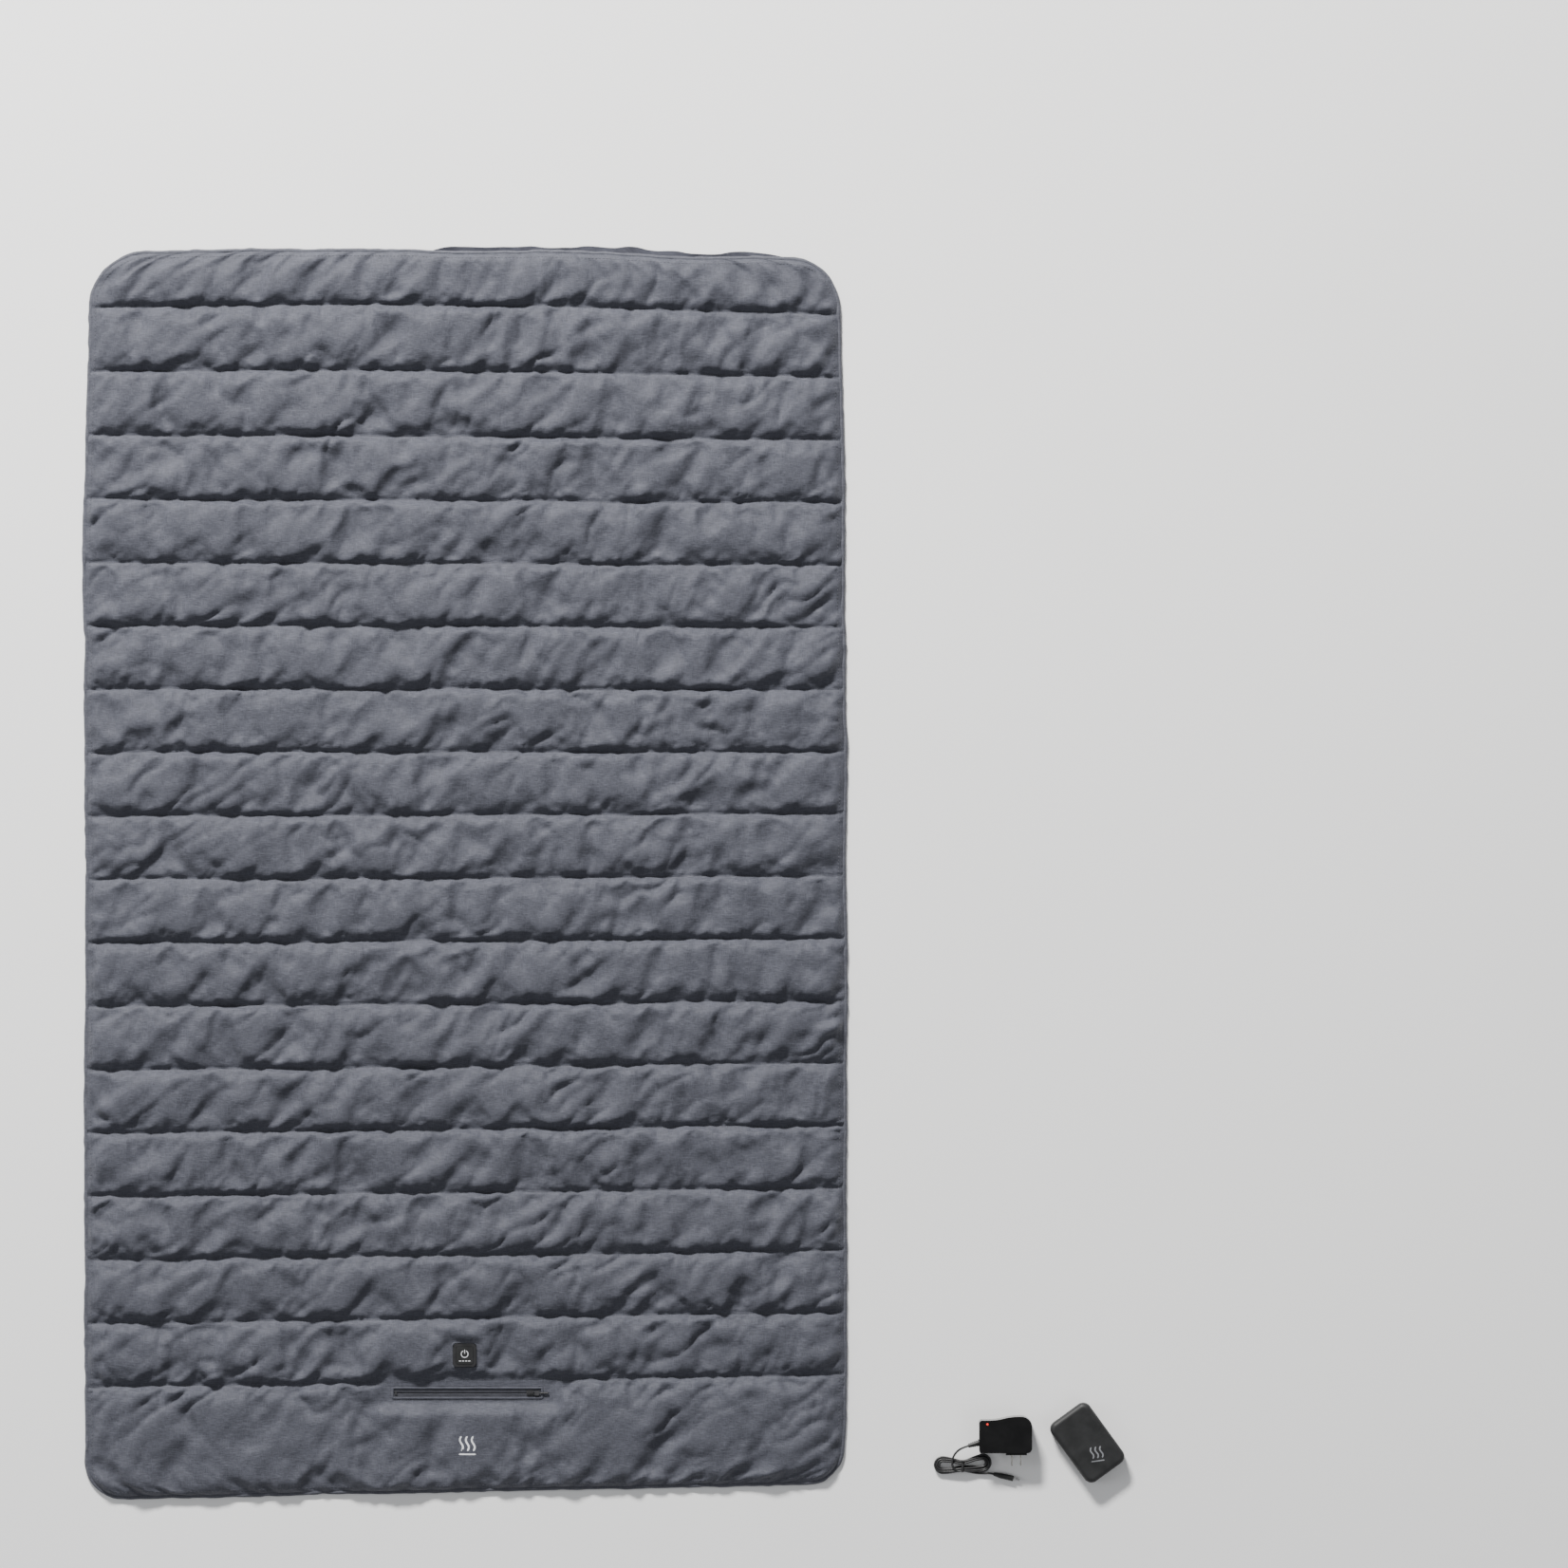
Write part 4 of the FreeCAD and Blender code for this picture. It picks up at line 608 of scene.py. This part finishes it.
def finer(points, faces):
    """One round of subdivision."""
    mesh = bpy.data.meshes.new("finer")
    mesh.from_pydata(points.tolist(), [], faces.tolist())
    obj = bpy.data.objects.new("finer", mesh)
    bpy.context.scene.collection.objects.link(obj)
    modifier = obj.modifiers.new("subdivide", "SUBSURF")
    modifier.levels = modifier.render_levels = 1
    result = bpy.data.meshes.new_from_object(obj.evaluated_get(bpy.context.evaluated_depsgraph_get()))
    out = np.zeros(len(result.vertices) * 3, np.float32)
    result.vertices.foreach_get("co", out)
    quads = np.zeros(len(result.polygons) * 4, np.int32)
    result.polygons.foreach_get("vertices", quads)
    bpy.data.objects.remove(obj)
    return out.reshape(-1, 3).astype(float), quads.reshape(-1, 4)


def seam_gap(y):
    """Distance from a flat height to the nearest seam, edges not counted."""
    return np.min([np.abs(y - seam) for seam in SEAMS], axis=0)


row_y, row_gap, row_foot = rows_of_face()
column_x = np.linspace(-EDGE_X, EDGE_X, round(2 * EDGE_X / CLOTH_STEP) + 1)
flat_x, flat_y = np.meshgrid(column_x, row_y)
gap = np.repeat(row_gap[:, None], len(column_x), 1)
foot = np.repeat(row_foot[:, None], len(column_x), 1)
side_gap = EDGE_X - np.abs(flat_x)
crest = np.where(foot, FOOT_CREST, CREST) * (1 + 0.16 * grain(flat_x / 0.16, flat_y / 0.0915, 21))
puff = (1 - np.exp(-(gap / 0.0052) ** 0.9)) * (1 - np.exp(-(side_gap / 0.012) ** 0.8))
free = np.minimum(step(gap, 0, 0.014), step(side_gap, 0, 0.02))
fold = sum(tall * folds(flat_x, flat_y, *where) for tall, *where in FOLDS)
flat_z = SEAM_Z + crest * puff + fold * free * np.where(foot, 0.75, 1.0)
index = np.arange(flat_x.size).reshape(flat_x.shape)
held = index[(gap < 1e-6) | (side_gap < 1e-6)]
face_points = np.stack([flat_x, flat_y, flat_z], -1).reshape(-1, 3)
face_quads = grid_faces(*flat_x.shape)[:, ::-1]
jitter = np.random.default_rng(3).normal(0, 0.0005, len(face_points))
jitter[held] = 0
face_points[:, 2] += jitter
relaxed = cloth_relax(face_points, face_quads, held)
face_points = face_points + np.clip(relaxed - face_points, -MOST_SHIFT, MOST_SHIFT)

face_points, face_quads = finer(face_points, face_quads)
x, y, z = face_points.T
x, y = np.clip(x, -EDGE_X, EDGE_X), np.clip(y, -EDGE_Y, EDGE_Y)
near = seam_gap(y)

# puckers along each seam, and the groove that its thread pulls in
seam_row = np.round((FIRST_SEAM - y) / PITCH) * 7.3 + np.sign(y - np.round(y, 3))
pull = np.maximum(0, grain(x / 0.0085 - y * 40, seam_row, 71))
z = z + 0.0019 * pull * step(near, 0.0004, 0.006) * (1 - step(near, 0.008, 0.026))
z = z - 0.0012 * np.exp(-(near / 0.0019) ** 2)

# creases between the seams and a fine unevenness
between = step(near, 0.0, 0.010) * step(np.minimum(EDGE_X - np.abs(x), EDGE_Y - np.abs(y)), 0.0, 0.012)
z = z + between * sum(facets(x, y, *crease) for crease in CREASES)
z = z + 0.00025 * grain(*[v / 0.0065 for v in turned(x, y, 35)], 96) * step(near, 0.001, 0.01)
x, y = spread(x, y)

# the cloth dips to the zip and is tucked in round the button's housing
away = beyond(x, y, *ZIP_DIP)
low = 0.0052 + 0.0003 * grain(x / 0.03, y / 0.01, 91)
z = np.where(away < 0.022, low + (np.maximum(z, low) - low) * step(away, 0.0005, 0.022), z)
ring = beyond(x, y, BUTTON_WINDOW[::2], BUTTON_WINDOW[1::2])
bearing = np.arctan2(y - BUTTON_AT[1], x - BUTTON_AT[0])
round_button = step(ring, 0.001, 0.010) * (1 - step(ring, 0.016, 0.050))
round_button = round_button * step(seam_gap(y - 0.0095), 0.0, 0.012)
for degrees, width, tall in BUTTON_FOLDS:
    apart = np.angle(np.exp(1j * (bearing - math.radians(degrees))))
    z = z + tall * np.exp(-(apart / width) ** 2) * round_button
z = np.where(ring < 0.014, 0.0139 + (z - 0.0139) * step(ring, 0.0, 0.014), z)
z = np.maximum(z, 0.0042)
z = np.where(z > 0.020, 0.020 + (z - 0.020) * 0.42, z)  # tall folds slump


def snapped(values, line, within):
    return np.where(np.abs(values - line) < within, line, values)


def opening(x, y, quads, left, right, low, high, within=0.0021):
    """Pulls the grid's nearest points on to a rectangle's sides and drops the quads inside it."""
    close = (x > left - within) & (x < right + within) & (y > low - within) & (y < high + within)
    x = np.where(close, snapped(snapped(x, left, within), right, within), x)
    y = np.where(close, snapped(snapped(y, low, within), high, within), y)
    mid_x, mid_y = x[quads].mean(1), y[quads].mean(1)
    inside = (mid_x > left) & (mid_x < right) & (mid_y > low) & (mid_y < high)
    return x, y, quads[~inside]


x, y, face_quads = opening(x, y, face_quads, *ZIP_WINDOW)
x, y, face_quads = opening(x, y, face_quads, *BUTTON_WINDOW)
used = np.unique(face_quads)
renumber = np.full(len(x), -1)
renumber[used] = np.arange(len(used))
face_quads = renumber[face_quads]
face_points = np.stack([x, y, z], -1)[used]
face = piece("quilted_face", "blanket", LOOKS["face"], "face_cloth", face_points, face_quads, True,
             ["face_fabric", "batting", "foot_batting"])
face_tree = BVHTree.FromPolygons(face_points.tolist(), face_quads.tolist())


def round_square(half, corner, level):
    """A square with rounded corners about the button, at one height, anticlockwise."""
    spots = []
    for quarter, (side, end) in enumerate(((1, 1), (-1, 1), (-1, -1), (1, -1))):
        for k in range(7):
            a = math.radians(90 * quarter + 15 * k)
            spots.append((BUTTON_AT[0] + side * (half - corner) + corner * math.cos(a),
                          BUTTON_AT[1] + end * (half - corner) + corner * math.sin(a), level))
    return spots


# the cloth's turned-in edge, which meets the round corners of the housing
collar_rings = [round_square(0.0170, 0.0060, 0.0128), round_square(0.0171, 0.0060, 0.0141),
                round_square(0.0178, 0.0058, 0.0146), round_square(0.0187, 0.0052, 0.0144),
                round_square(0.0197, 0.0046, 0.0136)]
piece("button_collar", "blanket", LOOKS["face"], "face_cloth", np.concatenate(collar_rings),
      grid_faces(len(collar_rings), len(collar_rings[0]), True)[:, ::-1])


def top_of_face(x, y):
    """Height of the face at a point, or of the binding's edge outside it."""
    hit = face_tree.ray_cast(Vector((float(x), float(y), 0.1)), Vector((0, 0, -1)))
    return hit[0].z if hit[0] is not None else SEAM_Z


# ------------------------------------------------------------------ rolled edge, threads and lining

RIM_POINTS, RIM_STEP = 1800, 0.003
rim = outline(0.0012, RIM_POINTS)
along = np.arange(RIM_POINTS) * RIM_STEP
wide = 0.0033 + 0.0005 * grain(along / 0.011, along * 0, 101)
tall = 0.0029 + 0.0004 * grain(along / 0.014, along * 0 + 5, 102)
rim_line = np.column_stack([rim, np.maximum(tall + 0.0002, 0.0030)])
piece("rolled_edge", "blanket", LOOKS["binding"], "binding_cloth", *swept(rim_line, wide, 10, True, tall),
      True, ["edge_binding"])

threads = Bunch()
for seam in SEAMS:
    across = np.linspace(-EDGE_X + 0.004, EDGE_X - 0.004, 240)
    stitches(threads, np.stack(spread(across, np.full(240, seam)), 1), *SEAM_STITCH, top_of_face)
piece("quilt_threads", "blanket", LOOKS["thread"], "thread", threads.verts, threads.faces, True,
      ["quilt_stitching"])
threads = Bunch()
inner = outline(-0.0062, 1200)
stitches(threads, np.concatenate([inner, inner[:1]]), *EDGE_STITCH, top_of_face)
piece("edge_threads", "blanket", LOOKS["thread"], "thread", threads.verts, threads.faces)

PADS = [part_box(f"heating_pad_{name}") for name in ("upper", "middle", "lower")]
PAD_SEAM = 0.006  # from a pad's edge to the thread that holds it
lining_x = np.linspace(-EDGE_X, EDGE_X, 150)
lining_y = np.linspace(EDGE_Y, -EDGE_Y, 240)
lx, ly = np.meshgrid(lining_x, lining_y)
calm = np.ones_like(lx)
for low_corner, high_corner in PADS + [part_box("pocket_bag"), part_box("harness_cables")]:
    calm = np.minimum(calm, step(beyond(lx, ly, low_corner, high_corner, 0.012), 0.0, 0.04))
rim_gap = np.minimum(EDGE_X - np.abs(lx), EDGE_Y - np.abs(ly))
satin_folds = 0.0022 * np.maximum(folds(lx, ly, 111, -28, 0.16, 0.045), 0)
satin_folds = satin_folds + 0.0016 * np.maximum(folds(lx, ly, 121, 24, 0.11, 0.034), 0)
lz = 0.0003 + calm * satin_folds * step(rim_gap, 0.0, 0.03)
wx, wy = spread(lx, ly, 0.0008)

# the lining shows past the head end along part of its width
peek = 0.0105 * step(wx, -0.085, 0.0) * (1 - step(wx, 0.40, 0.50))
peek = peek * (1 + 0.25 * grain(wx / 0.03, wx * 0, 131))
edge_share = step(ly, EDGE_Y - 0.03, EDGE_Y)
wy = wy + peek * edge_share
lz = lz + 0.0026 * edge_share ** 3 * (peek > 0.002) * (0.7 + 0.5 * grain(wx / 0.018, wx * 0, 132))
lining_points = np.stack([wx, wy, np.maximum(lz, 0.0001)], -1).reshape(-1, 3)
lining_sheet = piece("lining_sheet", "blanket", LOOKS["lining"], "lining_cloth", lining_points,
                     grid_faces(*lx.shape)[:, ::-1], True, ["lining"])

threads = Bunch()
for low_corner, high_corner in PADS:
    left, low = low_corner.x - PAD_SEAM, low_corner.y - PAD_SEAM
    right, high = high_corner.x + PAD_SEAM, high_corner.y + PAD_SEAM
    around = [(left, low), (right, low), (right, high), (left, high), (left, low)]
    stitches(threads, around, *PAD_STITCH, lambda x, y: 0.0003)
pad_threads = piece("pad_threads", "blanket", LOOKS["thread"], "thread", threads.verts, threads.faces)

# ------------------------------------------------------------------ pocket and zip

welt_line = []
left, right, low_y, high_y = ZIP_WINDOW
for cx, cy, start in ((right, high_y, 0), (left, high_y, 90), (left, low_y, 180), (right, low_y, 270)):
    for k in range(5):
        a = math.radians(start + 22.5 * k)
        welt_line.append((cx + 0.0014 * math.cos(a), cy + 0.0012 * math.sin(a), 0.00575))
welt_line = np.array(welt_line)
dense = []
for a, b in zip(welt_line, np.roll(welt_line, -1, 0)):
    steps = max(1, round(np.linalg.norm(b - a) / 0.0025))
    dense += [a + (b - a) * k / steps for k in range(steps)]
dense = np.array(dense)
dense[:, 2] += 0.00012 * grain(dense[:, 0] / 0.006, dense[:, 1] / 0.01, 141)
piece("pocket_lips", "blanket", LOOKS["face"], "face_cloth", *swept(dense, 0.0016, 10, True, 0.0006), True,
      ["pocket_welt"])
threads = Bunch()
row_low, row_high = low_y - 0.0046, high_y + 0.0042
for level in (row_low, row_high):
    run = np.column_stack([np.linspace(left - 0.002, right + 0.002, 60), np.full(60, level)])
    stitches(threads, run, *ZIP_STITCH, top_of_face)
for across in (left - 0.005, right + 0.005):
    stitches(threads, [(across, row_low), (across, row_high)], *ZIP_STITCH, top_of_face)
piece("pocket_threads", "blanket", LOOKS["thread"], "thread", threads.verts, threads.faces)

TAPE_ROWS, TAPE_COLUMNS = 120, 9
TOOTH_PITCH = 0.0014


def strip(name, node, bead_side):
    """A zip tape: a thin woven strip with a corded bead along the side that faces the coil."""
    low_corner, high_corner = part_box(node)
    across = np.linspace(0, 1, TAPE_COLUMNS)
    rows = np.linspace(low_corner.x, high_corner.x, TAPE_ROWS)
    bead = np.exp(-((across if bead_side < 0 else 1 - across) / 0.09) ** 2)
    verts = []
    for x in rows:
        for share, lift in zip(across, bead):
            y = low_corner.y + (high_corner.y - low_corner.y) * share
            z = high_corner.z - 0.00022 + 0.00022 * lift + 0.00008 * float(grain(x / 0.01, share * 2, 151))
            verts.append((x, y, min(z, high_corner.z)))
    count = len(verts)
    verts += [(x, y, low_corner.z) for x, y, _ in verts]
    top = grid_faces(TAPE_ROWS, TAPE_COLUMNS)
    faces = top.tolist() + (top[:, ::-1] + count).tolist()
    grid = np.arange(count).reshape(TAPE_ROWS, TAPE_COLUMNS)
    border = np.concatenate([grid[:, 0], grid[-1, 1:], grid[-2::-1, -1], grid[0, -2:0:-1]]).tolist()
    faces += [[a, b, b + count, a + count] for a, b in zip(border, border[1:] + border[:1])]
    piece(name, "blanket", LOOKS["zip_tape"], "zip_tape", verts, faces, True, [node])


strip("tape_upper", "zip_tape_upper", -1)
strip("tape_lower", "zip_tape_lower", 1)


def coil(name, node, lead):
    """One side of the zip: a row of coil teeth, each a small rounded bar with a wider head."""
    low_corner, high_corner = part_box(node)
    bars = Bunch()
    middle = np.full(5, (low_corner.z + high_corner.z) / 2)
    ends = np.linspace(low_corner.y + 0.0001, high_corner.y - 0.0001, 5)
    bow = np.array([0, 0.0001, 0.0002, 0.0001, 0])
    wide = np.array([0.0003, 0.00042, 0.00036, 0.00042, 0.0003])
    tall = np.array([0.0004, 0.00062, 0.0005, 0.00062, 0.0004])
    for x in np.arange(low_corner.x + 0.0006 + lead, high_corner.x - 0.0005, TOOTH_PITCH):
        bars.add(*swept(np.column_stack([x + bow, ends, middle]), wide, 6, False, tall))
    piece(name, "blanket", LOOKS["zip_coil"], "zip_coil", bars.verts, bars.faces, True, [node])


coil("coil_upper", "zip_coil_upper", 0.0)
coil("coil_lower", "zip_coil_lower", TOOTH_PITCH / 2)

# the pull's rubber grip: a thin neck, a ribbed middle and rounded ends
low_corner, high_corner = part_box("zip_pull_cord")
middle = (low_corner + high_corner) / 2
share = np.linspace(0, 1, 29)
ribs = 0.00013 * np.cos(share * 2 * np.pi * 7) * step(share, 0.28, 0.36)
grip_r = np.minimum(0.00082 + 0.00036 * step(share, 0.1, 0.3) + ribs, 0.00124)
grip_r = grip_r * (1 - 0.55 * step(share, 0.93, 1.0)) * (0.55 + 0.45 * step(share, 0.0, 0.06))
grip_x = np.linspace(low_corner.x, high_corner.x, len(share))
grip_line = np.column_stack([grip_x, np.full(len(share), middle.y), np.full(len(share), middle.z)])
piece("pull_grip", "zip_pull", LOOKS["rubber"], "black_rubber", *swept(grip_line, grip_r, 14), True,
      ["zip_pull_cord"])

# the pocket's pouch, flat under the zip and fuller towards the foot
low_corner, high_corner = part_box("pocket_bag")
bag_x, bag_y = np.meshgrid(np.linspace(low_corner.x, high_corner.x, 60),
                           np.linspace(high_corner.y, low_corner.y, 40))
side_gap = np.minimum(bag_x - low_corner.x, high_corner.x - bag_x)
rim_gap = np.minimum(side_gap, np.minimum(bag_y - low_corner.y, high_corner.y - bag_y))
clear = np.maximum(np.abs(bag_y - ZIP_Y) - 0.0095, 0)
full = 0.0031 * step(clear, 0, 0.008) + 0.0030 * step(clear, 0.02, 0.05)
slack = 0.0005 * grain(bag_x / 0.02, bag_y / 0.015, 161)
bag_z = 0.0009 + full * step(rim_gap, 0, 0.012)
bag_z = bag_z + slack * step(clear, 0.002, 0.02) * step(rim_gap, 0.002, 0.02)
top = np.stack([bag_x, bag_y, np.maximum(bag_z, 0.0009)], -1).reshape(-1, 3)
under = top * (1, 1, 0) + (0, 0, low_corner.z)
quads = grid_faces(*bag_x.shape)[:, ::-1]
piece("pocket_pouch", "blanket", LOOKS["pocket"], "lining_cloth", np.concatenate([top, under]),
      np.concatenate([quads, quads[:, ::-1] + len(top)]), True, ["pocket_bag"])

# ------------------------------------------------------------------ printed marks


def ribbon(bunch, line, half, height):
    """A flat printed stroke on a surface: height gives the surface's z, or is that z."""
    line = np.asarray(line, float)
    tangent = np.gradient(line, axis=0)
    tangent /= np.linalg.norm(tangent, axis=1, keepdims=True)
    side = np.stack([-tangent[:, 1], tangent[:, 0]], 1)
    share = np.linspace(0, 1, len(line))
    taper = np.minimum(1, np.minimum(share, 1 - share) * 14 + 0.25)[:, None]
    verts = []
    for across in (-1, 0, 1):
        for spot in line + side * half * taper * across:
            z = height(*spot) if callable(height) else height
            verts.append((*spot, z + (0.00022 if across == 0 else 0.00012)))
    bunch.add(verts, grid_faces(3, len(line)).tolist())


def heat_waves(bunch, at, turn, size, height):
    """Three rising wavy strokes over a short bar: a plain sign for warmth."""
    c, s = math.cos(turn), math.sin(turn)

    def put(points):
        u, v = (np.asarray(points, float) * size).T
        return np.stack([at[0] + u * c - v * s, at[1] + u * s + v * c], 1)

    t = np.linspace(0, 1, 36)
    for offset in (-0.5, 0.0, 0.5):
        wave = np.stack([offset + 0.13 * np.sin(t * 2 * np.pi), -0.5 + 1.25 * t], 1)
        ribbon(bunch, put(wave), 0.075 * size, height)
    ribbon(bunch, put(np.stack([-0.72 + 1.44 * t, np.full(36, -0.78)], 1)), 0.06 * size, height)


prints = Bunch()
heat_waves(prints, (0.004, -0.818), 0, 0.017, top_of_face)
piece("face_print", "blanket", LOOKS["mark"], "white_mark", prints.verts, prints.faces)

PACK_AT, PACK_TURN = Vector((0.897, -0.815)), math.radians(-54)
PACK_ALONG = Vector((math.cos(PACK_TURN), math.sin(PACK_TURN)))
PACK_ACROSS = Vector((-math.sin(PACK_TURN), math.cos(PACK_TURN)))
print_grey = moulded("grey_print", (0.16, 0.165, 0.18), (0.24, 0.245, 0.265), 0.5, 1500, 0.00003)
prints = Bunch()
spot = PACK_AT + PACK_ALONG * 0.020 + PACK_ACROSS * 0.002
heat_waves(prints, spot, math.radians(8), 0.0135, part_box("battery_case_top")[1].z)
piece("pack_print", "battery_pack", print_grey, "white_mark", prints.verts, prints.faces)

# ------------------------------------------------------------------ charger cord

CORD_R = 0.0015
FOLD_X, FOLD_Y = 0.7175, -0.8495
RELIEF_TIP = Vector((0.7252, -0.8197, 0.015))
RELIEF_OUT = Vector((-0.9613, -0.2756, 0))
PLUG_AT = Vector((0.7624, -0.861, 0.00405))
PLUG_TURN = math.radians(-13)
PLUG_OUT = Vector((math.cos(PLUG_TURN), math.sin(PLUG_TURN), 0))

# each turn: half length, radius of its left and right ends, layer height, and how far its right end lies off
TURNS = [
    (0.0407, 0.0119, 0.0122, 0.0053, 0.0006), (0.0377, 0.0089, 0.0091, 0.0053, -0.0004),
    (0.0343, 0.0060, 0.0060, 0.0053, 0.0004), (0.0336, 0.0060, 0.0060, 0.0023, 0.0009),
    (0.0371, 0.0089, 0.0090, 0.0023, 0.0002), (0.0404, 0.0119, 0.0120, 0.0023, -0.0003),
]
# where each turn passes the tie: y from the middle and z, for its lower and its upper strand
LOW_SLOTS = [(-0.0062, 0.0053), (-0.0062, 0.0083), (-0.0032, 0.0083), (-0.0003, 0.0023), (-0.0032, 0.0053),
             (-0.0032, 0.0023), (-0.0062, 0.0023)]
HIGH_SLOTS = [(0.0060, 0.0053), (0.0060, 0.0083), (0.0030, 0.0083), (0.0030, 0.0053), (0.0030, 0.0023),
              (0.0060, 0.0023)]
LEFT_MIDDLE, RIGHT_MIDDLE = -0.8482, -0.8449  # y of the middles of the two ends
END_TURNS = [math.radians(a) for a in (-90, -60, -30, 0, 30, 60, 90)]
BULGE = Vector((0, 0.0006, 0))  # how far a strand bows out between an end and the tie


def gate(slot):
    """The point where a strand passes the tie."""
    return Vector((FOLD_X, FOLD_Y + slot[0], slot[1]))


def hank_turn(index):
    """One turn of the hank: tie's lower side, right end, tie's upper side, left end."""
    length, left, right, layer, off = TURNS[index]
    after = TURNS[min(index + 1, len(TURNS) - 1)]
    low, high, next_low = gate(LOW_SLOTS[index]), gate(HIGH_SLOTS[index]), gate(LOW_SLOTS[index + 1])
    middle = Vector((FOLD_X + length - right, RIGHT_MIDDLE + off, layer))
    right_end = [middle + Vector((math.cos(a), math.sin(a), 0)) * right for a in END_TURNS]
    left_end = []
    for k, angle in enumerate(END_TURNS):
        share = float(step(k, 3, 7))
        radius = left + (after[1] - left) * share
        end = length + (after[0] - length) * share * 0.4
        middle = Vector((FOLD_X - end + left, LEFT_MIDDLE, layer + (after[3] - layer) * share))
        left_end.append(middle - Vector((math.cos(angle), math.sin(angle), 0)) * radius)
    return [low, low.lerp(right_end[0], 0.5) - BULGE, *right_end, right_end[-1].lerp(high, 0.5) + BULGE,
            high, high.lerp(left_end[0], 0.5) + BULGE, *left_end, left_end[-1].lerp(next_low, 0.5) - BULGE]


route = [
    RELIEF_TIP, RELIEF_TIP + RELIEF_OUT * 0.0085, Vector((0.7084, -0.8282, 0.0132)),
    Vector((0.7032, -0.8368, 0.0106)), Vector((0.7020, -0.8455, 0.0096)), Vector((0.7036, -0.8520, 0.0092)),
    Vector((0.7088, -0.8556, 0.0078)),
]
for index in range(len(TURNS)):
    route += hank_turn(index)
route += [
    gate(LOW_SLOTS[-1]), Vector((0.7270, -0.8579, 0.0024)), Vector((0.7380, -0.8599, 0.0028)),
    Vector((0.7486, -0.8603, 0.0036)), PLUG_AT - PLUG_OUT * 0.007, PLUG_AT,
]

cord_curve = bpy.data.curves.new("charger_cord", "CURVE")
cord_curve.dimensions = "3D"
cord_curve.resolution_u = 6
cord_curve.bevel_depth = CORD_R
cord_curve.bevel_resolution = 3
cord_curve.use_fill_caps = True
spline = cord_curve.splines.new("NURBS")
spline.points.add(len(route) - 1)
for point, at in zip(spline.points, route):
    point.co = (*at, 1)
spline.order_u = 3
spline.use_endpoint_u = True
cord_curve.materials.append(LOOKS["jacket"])
cord = bpy.data.objects.new("charger_cord", cord_curve)
bpy.context.scene.collection.objects.link(cord)
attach(cord, "charger")
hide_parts("charger_cord_lead", "charger_cord_hank", "charger_cord_tail")

# the tie: a flat rubber loop round all the strands, with its two short ends on top
TIE_PROFILE = [(-0.0017, 0.0), (-0.0013, 0.00045), (0.0, 0.00055), (0.0013, 0.00045), (0.0017, 0.0),
               (0.0013, -0.0002), (-0.0013, -0.0002)]
TIE_MIDDLE = np.array([FOLD_Y, 0.0053])
TIE_HALF = np.array([0.0083, 0.0050])
tie_verts = []
for angle in np.linspace(0, 2 * math.pi, 64, endpoint=False):
    wave = np.array([math.cos(angle), math.sin(angle)])
    spot = TIE_MIDDLE + TIE_HALF * np.copysign(np.abs(wave) ** 0.62, wave)
    out = (spot - TIE_MIDDLE) / np.linalg.norm(spot - TIE_MIDDLE)
    for along, lift in TIE_PROFILE:
        y, z = spot + out * lift
        tie_verts.append((FOLD_X + along, y, max(z, 0.00005)))
tie_grid = np.arange(len(tie_verts)).reshape(64, len(TIE_PROFILE))
joint = np.stack([tie_grid[-1], np.roll(tie_grid[-1], -1), np.roll(tie_grid[0], -1), tie_grid[0]], 1)
tie = Bunch()
tie.add(tie_verts, np.concatenate([grid_faces(64, len(TIE_PROFILE), True), joint]).tolist())
for sign in (-1, 1):
    end = [(FOLD_X + sign * 0.0008, FOLD_Y + 0.0052 + 0.0012 * k,
            0.0103 + 0.0009 * math.sin(k * 0.8) + sign * 0.0002) for k in range(-1, 4)]
    tie.add(*swept(end, 0.0007))
tie_band = piece("tie_band", "charger", LOOKS["rubber"], "black_rubber", tie.verts, tie.faces, True,
                 ["cord_tie"])
